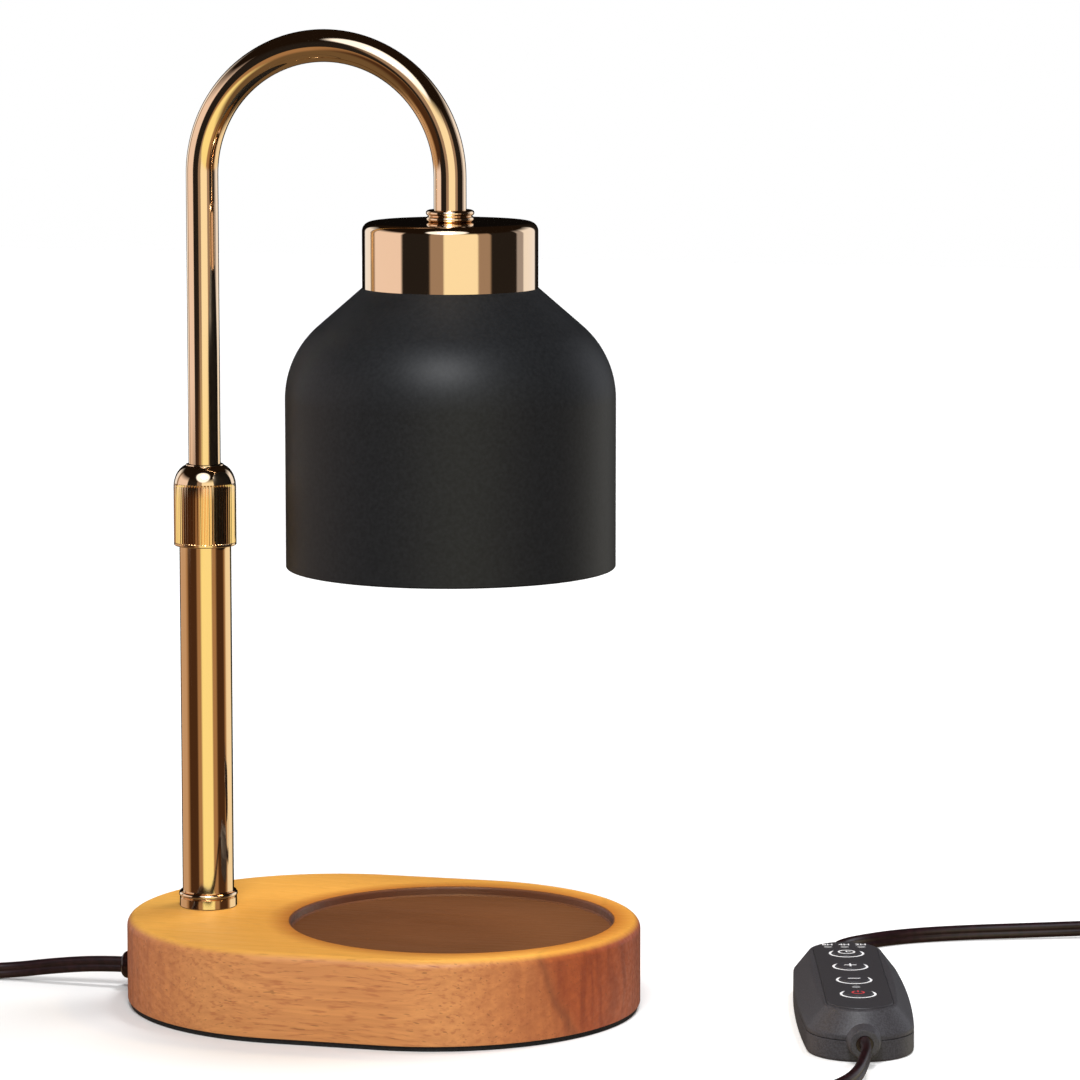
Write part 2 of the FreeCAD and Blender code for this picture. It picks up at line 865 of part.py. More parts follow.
def bulb_reflector():
    neck_bottom = holder_bottom - bulb_neck_height
    rim_top = bulb_face + bulb_rim_height
    drop = neck_bottom - rim_top
    widen = bulb_radius - bulb_neck_radius
    outer_via = (bulb_neck_radius + widen * bulb_swell, neck_bottom - drop * 0.5)
    inner_via = (outer_via[0] - bulb_wall, outer_via[1] - bulb_wall * 0.5)
    return turned(
        shade_x,
        (0, neck_bottom),
        (bulb_neck_radius, neck_bottom),
        (outer_via, (bulb_radius, rim_top)),
        (bulb_radius, bulb_face),
        (bulb_radius - bulb_wall, bulb_face),
        (bulb_radius - bulb_wall, rim_top),
        (inner_via, (bulb_neck_radius - bulb_wall, neck_bottom - bulb_wall)),
        (0, neck_bottom - bulb_wall),
    )


def bulb_lens():
    bottom = bulb_face + lens_inset
    return rod(bulb_radius - bulb_wall, bottom, bottom + lens_thickness, shade_x)


def bulb_capsule():
    top = holder_bottom - bulb_neck_height - bulb_wall
    bottom = top - capsule_length
    return turned(
        shade_x,
        (0, top),
        (capsule_radius, top),
        (capsule_radius, bottom + capsule_radius),
        ((capsule_radius * math.sqrt(0.5), bottom + capsule_radius * (1 - math.sqrt(0.5))), (0, bottom)),
    )


def shade():
    lean = math.radians(shade_cone_angle)
    small = shade_shoulder_radius - shade_wall
    centre_r = shade_radius - shade_shoulder_radius
    cone_r = centre_r + shade_shoulder_radius * math.cos(lean)
    cone_z = shade_top - (cone_r - cup_radius) / math.tan(lean)
    centre_z = cone_z - shade_shoulder_radius * math.sin(lean)

    def on_shoulder(radius, angle):
        return centre_r + radius * math.cos(angle), centre_z + radius * math.sin(angle)

    under = shade_top - shade_wall
    inner_cone = on_shoulder(small, lean)
    inner_top_r = inner_cone[0] - (under - inner_cone[1]) * math.tan(lean)
    shell = turned(
        shade_x,
        (shade_hole_radius, shade_top),
        (cup_radius, shade_top),
        on_shoulder(shade_shoulder_radius, lean),
        (on_shoulder(shade_shoulder_radius, lean / 2), (shade_radius, centre_z)),
        (shade_radius, shade_bottom),
        (shade_radius - shade_wall, shade_bottom),
        (shade_radius - shade_wall, centre_z),
        (on_shoulder(small, lean / 2), inner_cone),
        (inner_top_r, under),
        (shade_hole_radius, under),
    )
    for side in (-1, 1):
        shell = shell.cut(rod(small_screw_radius + screw_fit, under - 1, shade_top + 1,
                              shade_x + side * shade_screw_spread))
    return shell


# Controller, modelled along Y with its far end at +Y and its face up

def controller_volume():
    """The outside of the housing without its bushes, solid."""
    side = barrel_block(0, 0, controller_side_height)
    side = rounded(side, controller_foot_round, lambda edge: lies_at(edge, 0))
    bevel = Part.makeLoft([barrel(0, controller_side_height),
                           barrel(controller_bevel, controller_plateau_height)], True, True)
    return side.fuse(bevel)


def bush_passage():
    """The round ways that the bush necks take through both ends of the housing."""
    long_way = 2 * controller_half_length + 4
    return Part.makeCylinder(bush_neck_radius, long_way, vec(0, -long_way / 2, bush_height), vec(0, 1, 0))


def boss_places():
    return [(sx * boss_x, sy * boss_y) for sx in (-1, 1) for sy in (-1, 1)]


def controller_slice(bottom, top):
    """The part of the solid housing between two heights."""
    wide = 2 * controller_half_width
    far = 2 * controller_half_length
    return controller_volume().common(block(-wide, wide, -far, far, bottom, top))


def controller_bottom_shell():
    shell = controller_slice(-1, controller_seam_height)
    shell = shell.cut(controller_hollow())
    for x, y in boss_places():
        shell = shell.fuse(rod(boss_radius, 0, controller_seam_height, x, y))
    for x in (-board_post_x, board_post_x):
        for y in (-board_post_y, board_post_y):
            shell = shell.fuse(rod(board_post_radius, controller_wall - 0.1, board_underside, x, y))
    for x, y in boss_places():
        shell = shell.cut(rod(shell_head_radius + screw_fit, -1, shell_head_recess, x, y))
        shell = shell.cut(rod(shell_screw_radius + screw_fit, 0, controller_seam_height + 1, x, y))
    return shell.cut(bush_passage())


def controller_hollow():
    """The space inside both shells."""
    wall = controller_wall
    roof = controller_plateau_height - wall
    slope = controller_bevel / (controller_plateau_height - controller_side_height)
    roof_inset = wall + slope * (roof - controller_side_height)
    straight = barrel_block(wall, wall, controller_side_height)
    return straight.fuse(Part.makeLoft([barrel(wall, controller_side_height), barrel(roof_inset, roof)],
                                       True, True))


def controller_top_shell():
    roof = controller_plateau_height - controller_wall
    outside = controller_slice(controller_seam_height, controller_plateau_height + 1)
    shell = outside.cut(controller_hollow())
    bosses = [rod(boss_radius, controller_seam_height, roof, x, y) for x, y in boss_places()]
    for boss in bosses:
        shell = shell.fuse(boss.common(outside))
    shell = shell.cut(oblong(panel_length + 2 * panel_play, panel_width + 2 * panel_play, panel_bottom,
                             controller_plateau_height + 1))
    shell = shell.cut(oblong(panel_length - 2 * panel_ledge, panel_width - 2 * panel_ledge, roof - 1,
                             panel_bottom + 1))
    screw_top = shell_head_recess + shell_screw_length
    for x, y in boss_places():
        shell = shell.cut(rod(shell_screw_radius, controller_seam_height - 1, screw_top, x, y))
    return shell.cut(bush_passage())


def light_places():
    hours = [(n * hour_light_pitch, hour_light_y) for n in (-1, 0, 1)]
    return hours + [(0.0, status_light_y)]


def controller_face_panel():
    panel = oblong(panel_length, panel_width, panel_bottom, panel_top)
    for y in button_places.values():
        panel = panel.cut(rod(button_radius + button_play, 0, panel_top + 1, 0, y))
    for x, y in light_places():
        panel = panel.cut(rod(hour_light_radius, 0, panel_top + 1, x, y))
    return panel


def push_button(y):
    flange = rod(button_radius + button_flange, button_flange_top - button_flange_height,
                 button_flange_top, 0, y)
    cap = rod(button_radius, button_flange_top, panel_top + button_proud, 0, y)
    cap = rounded(cap, button_edge_round, lambda edge: lies_at(edge, panel_top + button_proud))
    stem = rod(button_stem_radius, button_stem_bottom, button_flange_top - button_flange_height, 0, y)
    return flange.fuse(cap).fuse(stem)


def indicator_lights():
    bottom = board_top + light_source_height
    return group([rod(hour_light_radius, bottom, panel_top + light_proud, x, y) for x, y in light_places()])


def controller_board():
    return block(-board_width / 2, board_width / 2, -board_length / 2, board_length / 2,
                 board_underside, board_top)


def board_switches():
    half = switch_size / 2
    top = board_top + switch_height
    switches = []
    for y in button_places.values():
        body = block(-half, half, y - half, y + half, board_top, top)
        plunger = rod(switch_plunger_radius, top, plunger_top, 0, y)
        switches.append(body.fuse(plunger))
    return group(switches)


def under_board(x0, x1, y0, y1, height):
    return block(x0, x1, y0, y1, board_underside - height, board_underside)


def board_parts():
    """Light sources on top; terminal blocks, a capacitor, two transistors and the timer chip underneath."""
    end = board_length / 2
    half = light_source_size / 2
    parts = [block(x - half, x + half, y - half, y + half, board_top, board_top + light_source_height)
             for x, y in light_places()]
    for ends in ((end - terminal_length, end), (-end, terminal_length - end)):
        parts.append(under_board(-terminal_width / 2, terminal_width / 2, *ends, terminal_height))
    parts += [under_board(*box) for box in transistor_boxes + (chip_box,)]
    parts.append(Part.makeCylinder(capacitor_radius, capacitor_length,
                                   vec(0, capacitor_y, board_underside - capacitor_radius), vec(0, -1, 0)))
    return group(parts)


def shell_screws():
    screws = []
    for x, y in boss_places():
        seat = shell_head_recess
        head = rod(shell_head_radius, seat - shell_head_height, seat, x, y)
        screws.append(head.fuse(rod(shell_screw_radius, seat, seat + shell_screw_length, x, y)))
    return group(screws)


def along_cord(radius, start, end):
    """A round piece on the cord's axis at the controller, from one Y to the other."""
    return Part.makeCylinder(radius, end - start, vec(0, start, bush_height), vec(0, 1, 0))


def inner_flange(side):
    wall_inside = controller_half_length - controller_wall
    near = wall_inside - bush_flange_setback
    ends = sorted((side * near, side * (near + bush_inner_thickness)))
    return along_cord(bush_inner_flange, *ends).common(controller_hollow())


def rear_bush():
    start = controller_half_length - rear_bush_overlap
    end = controller_half_length + rear_bush_length
    half_x = rear_bush_width / 2
    half_z = rear_bush_thickness / 2
    cover = block(-half_x, half_x, start, end, bush_height - half_z, bush_height + half_z)
    cover = rounded(cover, rear_bush_round, lambda edge: edge.BoundBox.YLength > 1
                    and edge.BoundBox.XLength < 0.001)
    cover = rounded(cover, rear_bush_end_round, lambda edge: edge.BoundBox.YMin > end - 0.001)
    cover = cover.cut(controller_volume())
    neck = along_cord(bush_neck_radius, controller_half_length - controller_wall - bush_flange_setback,
                      controller_half_length + 1)
    bush = cover.fuse(neck).fuse(inner_flange(1))
    return bush.cut(along_cord(cord_radius + cord_play, 0, end + 1))


def front_bush():
    neck_end = -controller_half_length - front_bush_neck
    end = neck_end - front_bush_length
    neck = along_cord(bush_neck_radius, neck_end,
                      -controller_half_length + controller_wall + bush_flange_setback)
    cone = Part.makeCone(front_bush_radius, front_bush_end_radius, front_bush_length,
                         vec(0, neck_end, bush_height), vec(0, -1, 0))
    cone = rounded(cone, front_bush_edge_round, lambda edge: edge.BoundBox.YLength < 0.001)
    bush = neck.fuse(cone).fuse(inner_flange(-1))
    return bush.cut(along_cord(cord_radius + cord_play, end - 1, 0))


def controller_leads():
    """The cord's last stretch at both ends, from the mouth of each bush to its terminal block."""
    terminal = board_length / 2
    far = along_cord(cord_radius, terminal, controller_half_length + rear_bush_length)
    near = along_cord(cord_radius, -controller_half_length - front_bush_neck - front_bush_length, -terminal)
    return group([far, near])


# Cord, coil, tie and plug

def coil_point(angle_run):
    """A point on the coil's centreline and its direction, by the angle wound so far, in radians."""
    in_run = 2 * math.pi * coil_layer_turns
    climb_run = 2 * math.pi * coil_climb_turns
    rate = coil_pitch / (2 * math.pi)
    inner = coil_outer_radius - rate * in_run
    if angle_run < in_run:
        radius, slope, height, rise = coil_outer_radius - rate * angle_run, -rate, coil_height, 0.0
    elif angle_run <= in_run + climb_run:
        share = (angle_run - in_run) / climb_run
        ease = share * share * (3 - 2 * share)
        radius = inner - rate * climb_run * share * (1 - share)
        slope = -rate * (1 - 2 * share)
        height = coil_height + coil_pitch * ease
        rise = coil_pitch * 6 * share * (1 - share) / climb_run
    else:
        wound_out = angle_run - in_run - climb_run
        radius, slope, height, rise = inner + rate * wound_out, rate, coil_top_height, 0.0
    angle = math.radians(coil_start_angle) - angle_run
    point = vec(coil_x + radius * math.cos(angle), coil_y + radius * math.sin(angle), height)
    way = vec(slope * math.cos(angle) + radius * math.sin(angle),
              slope * math.sin(angle) - radius * math.cos(angle), rise)
    return point, way.normalize()


def coil_wire():
    total = 2 * math.pi * (2 * coil_layer_turns + coil_climb_turns)
    quarters = 4 * round(2 * coil_layer_turns + coil_climb_turns) + 1
    stops = [coil_point(total * n / quarters) for n in range(quarters + 1)]
    diameter = 2 * cord_radius
    first, first_way = stops[0]
    last, last_way = stops[-1]
    edges = [Part.LineSegment(first - first_way * diameter, first).toShape()]
    for (start, start_way), (end, end_way) in zip(stops, stops[1:]):
        edges += bend(start, start_way, end, end_way)
    edges.append(Part.LineSegment(last, last + last_way * diameter).toShape())
    return Part.Wire(edges)


def least_gap(points, step):
    """The least gap of a tube to itself, leaving out points nearer than half a turn along it."""
    apart = int(math.pi * coil_outer_radius / 2 / step)
    least = 1e9
    for first in range(len(points)):
        for second in range(first + apart, len(points)):
            least = min(least, (points[first] - points[second]).Length)
    return least - 2 * cord_radius


def cord_coil():
    wire = coil_wire()
    coil = swept(wire, cord_radius)
    step = 2.0
    points = wire.discretize(Number=int(wire.Length / step))
    expected = math.pi * cord_radius ** 2 * wire.Length
    print("cord_coil length", round(wire.Length, 1), "least gap", round(least_gap(points, step), 2),
          "volume over section times length", round(coil.Volume / expected, 4))
    return coil


def coil_tie():
    """A strap round all the turns at one place on the coil."""
    half = tie_width / 2
    hole_radius = coil_outer_radius - coil_pitch * (coil_layer_turns + coil_climb_turns / 4) - cord_radius
    inner = math.sqrt(hole_radius ** 2 - half ** 2) - tie_play
    outer = coil_outer_radius + cord_radius + tie_play
    low = coil_height - cord_radius - tie_play
    high = coil_top_height + cord_radius + tie_play
    grow = tie_thickness
    strap = block(inner - grow, outer + grow, -half, half, low - grow, high + grow)
    strap = rounded(strap, tie_edge_round, lambda edge: edge.BoundBox.YLength > half)
    strap = strap.cut(block(inner, outer, -half - 1, half + 1, low, high))
    return placed(strap, coil_x, coil_y, tie_angle)


def plug_frame():
    """Where the plug starts and which way it points: on from the coil's outer end."""
    end, way = coil_point(2 * math.pi * (2 * coil_layer_turns + coil_climb_turns))
    start = end + way * 2 * cord_radius
    yaw = math.degrees(math.atan2(way.y, way.x)) - 90
    return start, yaw


def plug_piece(shape):
    start, yaw = plug_frame()
    return placed(shape, start.x, start.y, yaw)


def cushion_outline(width, thickness, y):
    """A rectangle with round corners, square to the plug's axis."""
    half_x = width / 2 - plug_corner
    half_z = thickness / 2 - plug_corner
    centre = coil_top_height
    out_x = width / 2
    out_z = thickness / 2
    bulge = plug_corner * math.sqrt(0.5)
    edges = []
    spots = [(1, 1), (-1, 1), (-1, -1), (1, -1)]
    for n, (sx, sz) in enumerate(spots):
        on_side = vec(sx * out_x, y, centre + sz * half_z)
        on_top = vec(sx * half_x, y, centre + sz * out_z)
        via = vec(sx * (half_x + bulge), y, centre + sz * (half_z + bulge))
        first, last = (on_side, on_top) if n % 2 == 0 else (on_top, on_side)
        edges.append(Part.Arc(first, via, last).toShape())
        nx, nz = spots[(n + 1) % 4]
        if n % 2 == 0:
            following = vec(nx * half_x, y, centre + nz * out_z)
        else:
            following = vec(nx * out_x, y, centre + nz * half_z)
        edges.append(Part.LineSegment(last, following).toShape())
    return Part.Wire(edges)


def plug_body():
    neck = relief_length
    shoulder = relief_length + plug_shoulder
    face = relief_length + plug_length
    body = Part.makeLoft([cushion_outline(plug_neck_width, plug_neck_thickness, neck),
                          cushion_outline(plug_width, plug_thickness, shoulder)], True, True)
    body = body.fuse(Part.makeLoft([cushion_outline(plug_width, plug_thickness, shoulder),
                                    cushion_outline(plug_width, plug_thickness, face)], True, True))
    axis_start = vec(0, 0, coil_top_height)
    relief = Part.makeCone(relief_tip_radius, relief_root_radius, relief_length, axis_start, vec(0, 1, 0))
    groove_pitch = relief_length / (relief_rings + 1)
    for n in range(1, relief_rings + 1):
        middle = n * groove_pitch
        outer = relief_root_radius + 1
        cone_here = relief_tip_radius + (relief_root_radius - relief_tip_radius) * middle / relief_length
        corner = vec(0, middle - relief_groove_width / 2, coil_top_height)
        groove = Part.makeCylinder(outer, relief_groove_width, corner, vec(0, 1, 0))
        groove = groove.cut(Part.makeCylinder(cone_here - relief_groove_depth, relief_groove_width, corner,
                                              vec(0, 1, 0)))
        relief = relief.cut(groove)
    return plug_piece(body.fuse(relief).removeSplitter())


def plug_blades():
    face = relief_length + plug_length
    half = blade_width / 2
    blades = []
    for side in (-1, 1):
        middle = side * blade_spread
        blade = block(middle - blade_thickness / 2, middle + blade_thickness / 2, face, face + blade_length,
                      coil_top_height - half, coil_top_height + half)
        hole = Part.makeCylinder(blade_hole_radius, 2 * blade_spread,
                                 vec(middle - blade_spread, face + blade_length - blade_hole_from_tip,
                                     coil_top_height), vec(1, 0, 0))
        blades.append(blade.cut(hole))
    return plug_piece(group(blades))


def on_controller(shape):
    return placed(shape, controller_x, controller_y, controller_yaw)


def controller_spot(y):
    """A point on the cord's axis at the controller, in the lamp's frame."""
    yaw = math.radians(controller_yaw)
    return controller_x - y * math.sin(yaw), controller_y + y * math.cos(yaw), bush_height


def lamp_cord():
    near_mouth = -controller_half_length - front_bush_neck - front_bush_length
    run_in = [controller_spot(near_mouth - cord_run_in), controller_spot(near_mouth)]
    return route_tube("cord_to_controller", lamp_cord_route + run_in, cord_radius)


def mains_cord():
    far_mouth = controller_half_length + rear_bush_length
    run_out = [controller_spot(far_mouth), controller_spot(far_mouth + cord_run_out)]
    start, way = coil_point(0)
    before = start - way * 2 * cord_radius
    earlier = before - way * coil_lead_in
    run_in = [(earlier.x, earlier.y, coil_height), (before.x, before.y, coil_height)]
    return route_tube("cord_to_plug", run_out + mains_cord_route + run_in, cord_radius)


pieces = {
    "wood_base": wood_base,
    "base_pad": base_pad,
    "ballast_plate": ballast_plate,
    "ballast_screws": ballast_screws,
    "cord_grommet": cord_grommet,
    "post_flange": post_flange,
    "post_nipple": post_nipple,
    "post_nut": post_nut,
    "post_washer": post_washer,
    "post_foot": post_foot,
    "post_tube": post_tube,
    "post_top_bush": post_top_bush,
    "collet_ring": collet_ring,
    "clamp_collar": clamp_collar,
    "post_lead": post_lead,
    "slack_lead": slack_lead,
    "guide_bush": guide_bush,
    "arm_tube": arm_tube,
    "arm_stop_rings": arm_stop_rings,
    "arm_lead": arm_lead,
    "cup_ring_nut": cup_ring_nut,
    "socket_cup": socket_cup,
    "cup_nut": cup_nut,
    "holder_bracket": holder_bracket,
    "holder_plate": holder_plate,
    "shade_screws": shade_screws,
    "lampholder": lampholder,
    "holder_screws": holder_screws,
    "holder_contacts": holder_contacts,
    "shade": shade,
    "bulb_base": bulb_base,
    "bulb_pins": bulb_pins,
    "bulb_reflector": bulb_reflector,
    "bulb_lens": bulb_lens,
    "bulb_capsule": bulb_capsule,
    "controller_bottom_shell": lambda: on_controller(controller_bottom_shell()),
    "controller_top_shell": lambda: on_controller(controller_top_shell()),
    "controller_face_panel": lambda: on_controller(controller_face_panel()),
    "indicator_lights": lambda: on_controller(indicator_lights()),
    "controller_board": lambda: on_controller(controller_board()),
    "board_switches": lambda: on_controller(board_switches()),
    "board_parts": lambda: on_controller(board_parts()),
    "shell_screws": lambda: on_controller(shell_screws()),
    "rear_bush": lambda: on_controller(rear_bush()),
    "front_bush": lambda: on_controller(front_bush()),
    "controller_leads": lambda: on_controller(controller_leads()),
    "cord_to_controller": lamp_cord,
    "cord_to_plug": mains_cord,
    "cord_coil": cord_coil,
    "coil_tie": coil_tie,
    "plug_body": plug_body,
    "plug_blades": plug_blades,
}
for button_name, button_y in button_places.items():
    pieces[button_name] = lambda y=button_y: on_controller(push_button(y))

os.makedirs("parts", exist_ok=True)
for node, make in pieces.items():
    shape = make()
    solids = shape.Solids
    if not shape.isValid():
        print("not valid:", node)
    if len(solids) == 1:
        shape = solids[0]
    print(node, "solids", len(solids), "volume", round(shape.Volume, 1))
    shape.exportStep("parts/" + node + ".step")
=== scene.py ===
import math

import bpy
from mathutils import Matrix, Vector


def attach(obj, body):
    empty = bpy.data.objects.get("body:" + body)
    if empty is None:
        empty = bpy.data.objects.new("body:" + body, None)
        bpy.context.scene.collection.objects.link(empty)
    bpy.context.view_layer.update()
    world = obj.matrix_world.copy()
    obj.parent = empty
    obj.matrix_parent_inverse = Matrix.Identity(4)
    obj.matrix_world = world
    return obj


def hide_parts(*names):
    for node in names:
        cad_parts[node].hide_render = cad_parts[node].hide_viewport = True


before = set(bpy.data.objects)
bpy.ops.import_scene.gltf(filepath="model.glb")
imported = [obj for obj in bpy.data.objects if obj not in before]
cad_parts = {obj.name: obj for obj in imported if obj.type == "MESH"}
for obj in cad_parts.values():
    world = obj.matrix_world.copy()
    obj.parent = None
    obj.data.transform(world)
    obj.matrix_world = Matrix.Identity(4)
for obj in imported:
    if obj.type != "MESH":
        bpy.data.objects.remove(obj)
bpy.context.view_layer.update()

# Candle warmer lamp. Sizes are in millimetres, as in the solids, and mm() turns them into metres.

POST_X = -57.0
POST_AXIS = (POST_X, 0.0, 0.0)
SHADE_X = 22.0
SHADE_AXIS = (SHADE_X, 0.0, 0.0)
BASE_LEFT = -80.0
BASE_RIGHT = 80.0
BASE_BOTTOM = 1.5
BASE_TOP = 27.5
ARM_BOTTOM = 86.0
ARM_END = 234.5
CROOK_X = -17.5
CROOK_Z = 255.5
CONTROLLER_X = 145.7
CONTROLLER_Y = 10.4
CONTROLLER_YAW = 15.0
PANEL_TOP = 15.0
BUTTON_TOP = 15.5
INK = 0.03
COIL_X = 238.6
COIL_Y = 127.4
VIEW_YAW = 15.0
VIEW_DIP = 7.506


def mm(*values):
    return tuple(value * 0.001 for value in values)


# Drawing and modelling by hand

def only(*objects):
    """Leaves just these objects selected, with the first one active."""
    bpy.ops.object.select_all(action="DESELECT")
    for obj in objects:
        obj.select_set(True)
    bpy.context.view_layer.objects.active = objects[0]


def begin(name, point):
    """A mesh of one vertex in edit mode, from which a profile is drawn."""
    bpy.ops.object.select_all(action="DESELECT")
    bpy.ops.mesh.primitive_plane_add(size=0.001)
    obj = bpy.context.active_object
    obj.name = name
    obj.data.name = name
    bpy.ops.object.mode_set(mode="EDIT")
    bpy.ops.mesh.select_mode(type="VERT")
    bpy.ops.mesh.select_all(action="SELECT")
    bpy.ops.mesh.merge(type="CENTER")
    bpy.ops.transform.translate(value=point)
    return obj


def draw(points):
    """Draws on from the selected vertex, which is the first point, through the others."""
    for here, there in zip(points, points[1:]):
        step = Vector(there) - Vector(here)
        bpy.ops.mesh.extrude_vertices_move(TRANSFORM_OT_translate={"value": step})


def face_outwards():
    bpy.ops.mesh.select_all(action="SELECT")
    bpy.ops.mesh.normals_make_consistent(inside=False)


def weld():
    """Merges doubles and turns all faces outwards, in edit mode."""
    bpy.ops.mesh.select_all(action="SELECT")
    bpy.ops.mesh.remove_doubles(threshold=1e-6)
    face_outwards()


def leave_edit(obj, smooth_angle=34):
    """Leaves edit mode and shades smooth, but for edges sharper than the angle."""
    bpy.ops.object.mode_set(mode="OBJECT")
    only(obj)
    bpy.ops.object.shade_smooth_by_angle(angle=math.radians(smooth_angle))
    return obj


def apply_modifier(obj, kind, **settings):
    only(obj)
    modifier = obj.modifiers.new(kind.lower(), kind)
    for name, value in settings.items():
        setattr(modifier, name, value)
    bpy.ops.object.modifier_apply(modifier=modifier.name)


def even_light(obj):
    """Keeps the large faces flat where they meet small round edges."""
    apply_modifier(obj, "WEIGHTED_NORMAL", keep_sharp=True, weight=80)
    return obj


def arc(centre, radius, start, end, steps):
    """Points of an arc in a profile, from one angle to another in degrees."""
    angles = [math.radians(start + (end - start) * n / steps) for n in range(steps + 1)]
    return [(centre[0] + radius * math.cos(a), centre[1] + radius * math.sin(a)) for a in angles]


def turned(name, profile, centre, axis="Z", steps=96):
    """A turned piece: a closed profile of (radius, height) points, spun round the axis and welded."""
    places = {
        "X": lambda radius, height: mm(centre[0] + height, centre[1], centre[2] + radius),
        "Y": lambda radius, height: mm(centre[0], centre[1] + height, centre[2] + radius),
        "Z": lambda radius, height: mm(centre[0] + radius, centre[1], centre[2] + height),
    }
    way = {"X": (1, 0, 0), "Y": (0, 1, 0), "Z": (0, 0, 1)}[axis]
    points = [places[axis](*point) for point in profile + profile[:1]]
    obj = begin(name, points[0])
    draw(points)
    bpy.ops.mesh.select_all(action="SELECT")
    bpy.ops.mesh.remove_doubles(threshold=1e-7)
    bpy.ops.mesh.select_all(action="SELECT")
    bpy.ops.mesh.spin(steps=steps, angle=2 * math.pi, center=mm(*centre), axis=way)
    weld()
    return even_light(leave_edit(obj))


def rod(radius, bottom, top):
    """The profile of a plain cylinder, with which a hole is drilled."""
    return [(0.0, bottom), (radius, bottom), (radius, top), (0.0, top)]


def block(name, points, step):
    """That outline extruded by a step, still in edit mode, with its far face selected."""
    obj = begin(name, points[0])
    draw(points)
    bpy.ops.mesh.select_all(action="SELECT")
    bpy.ops.mesh.edge_face_add()
    bpy.ops.mesh.extrude_region_move(TRANSFORM_OT_translate={"value": step})
    return obj


def slab(name, outline, bottom, top):
    """A flat block that lies level, as an outline seen from above."""
    return block(name, [mm(x, y, bottom) for x, y in outline], mm(0, 0, top - bottom))


def pick_edges(obj, test):
    """Selects the edges whose two ends, in millimetres, pass the test."""
    bpy.ops.mesh.select_all(action="DESELECT")
    bpy.ops.object.mode_set(mode="OBJECT")
    mesh = obj.data
    for edge in mesh.edges:
        edge.select = all(test(mesh.vertices[v].co * 1000) for v in edge.vertices)
    for polygon in mesh.polygons:
        polygon.select = False
    bpy.ops.object.mode_set(mode="EDIT")
    bpy.ops.mesh.select_mode(type="EDGE")


def round_edges(width, segments):
    bpy.ops.mesh.bevel(offset=width * 0.001, offset_type="OFFSET", segments=segments, profile=0.5,
                       affect="EDGES", clamp_overlap=True)


def round_rims(obj, *rims):
    """Rounds the level edges at each height, by a width and with a number of segments."""
    face_outwards()
    for height, width, segments in rims:
        pick_edges(obj, lambda co: abs(co.z - height) < 0.002)
        round_edges(width, segments)
    bpy.ops.object.mode_set(mode="OBJECT")


def cut(obj, *cutters):
    """Cuts the cutters away from the piece."""
    for cutter in cutters:
        apply_modifier(obj, "BOOLEAN", operation="DIFFERENCE", solver="EXACT", object=cutter)
        bpy.data.objects.remove(cutter)


def stand(obj, x, y, yaw):
    """Turns a piece that was made at the origin, moves it to its place and applies both to its mesh."""
    only(obj)
    obj.rotation_euler = (0, 0, math.radians(yaw))
    obj.location = mm(x, y, 0)
    bpy.ops.object.transform_apply(location=True, rotation=True, scale=True)
    return obj


def stadium(length, width, steps=56):
    radius = width / 2
    half = length / 2 - radius
    right = arc((half, 0), radius, -90, 90, steps)
    left = arc((-half, 0), radius, 90, 270, steps)
    return right + left


def joined(first, *others):
    only(first, *others)
    bpy.ops.object.join()
    return first


def new_object(name, data):
    obj = bpy.data.objects.new(name, data)
    bpy.context.scene.collection.objects.link(obj)
    return obj


def dress(obj, material, body, slot, *nodes):
    """Gives the piece its material if it has none, puts it in its body, and hides the solids it stands for.
    """
    if not obj.data.materials:
        obj.data.materials.append(material)
    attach(obj, body)
    if nodes:
        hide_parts(*nodes)
    return obj


# Colours and materials

def paint(code):
    """The linear colour of an sRGB hex code."""
    values = [int(code[n:n + 2], 16) / 255 for n in (1, 3, 5)]
    linear = [v / 12.92 if v <= 0.04045 else ((v + 0.055) / 1.055) ** 2.4 for v in values]
    return (*linear, 1.0)


def new_material(name):
    material = bpy.data.materials.new(name)
    material.use_nodes = True
    material.node_tree.nodes.clear()
    return material, material.node_tree


def add(tree, kind, settings=None, **links):
    """Adds a node. Settings are its own properties or the values of its inputs, and each link joins an
    input, named with _ for a space, to another node's output."""
    node = tree.nodes.new(kind)
    for name, value in (settings or {}).items():
        if isinstance(name, int) or name in node.inputs:
            node.inputs[name].default_value = value
        else:
            setattr(node, name, value)
    for name, source in links.items():
        key = int(name[1:]) if name[0] == "i" and name[1:].isdigit() else name.replace("_", " ")
        output = source if isinstance(source, bpy.types.NodeSocket) else source.outputs[0]
        tree.links.new(output, node.inputs[key])
    return node


def ramp(tree, stops, factor, interpolation="LINEAR"):
    node = add(tree, "ShaderNodeValToRGB", Fac=factor)
    node.color_ramp.interpolation = interpolation
    elements = node.color_ramp.elements
    for n, (place, colour) in enumerate(stops):
        element = elements[n] if n < 2 else elements.new(place)
        element.position = place
        element.color = colour
    return node


def grey(level):
    return (level, level, level, 1.0)


def finish_material(tree, settings, **links):
    surface = add(tree, "ShaderNodeBsdfPrincipled", settings, **links)
    add(tree, "ShaderNodeOutputMaterial", Surface=surface)
    return surface


def noise(tree, place, scale=1.0, detail=2.0, stretch=None, roughness=0.5):
    """Noise by the metre, drawn out where the three scales of the stretch differ."""
    if stretch:
        place = add(tree, "ShaderNodeMapping", {"Scale": stretch}, Vector=place)
    settings = {"Scale": scale, "Detail": detail, "Roughness": roughness}
    return add(tree, "ShaderNodeTexNoise", settings, Vector=place)


def relief(tree, height, strength, distance):
    return add(tree, "ShaderNodeBump", {"Strength": strength, "Distance": distance}, Height=height)


def maths(tree, operation, *values, **links):
    """A math node: numbers go in by their place, and other nodes by i0, i1 or i2."""
    settings = {n: value for n, value in enumerate(values) if value is not None}
    return add(tree, "ShaderNodeMath", {"operation": operation, **settings}, **links)


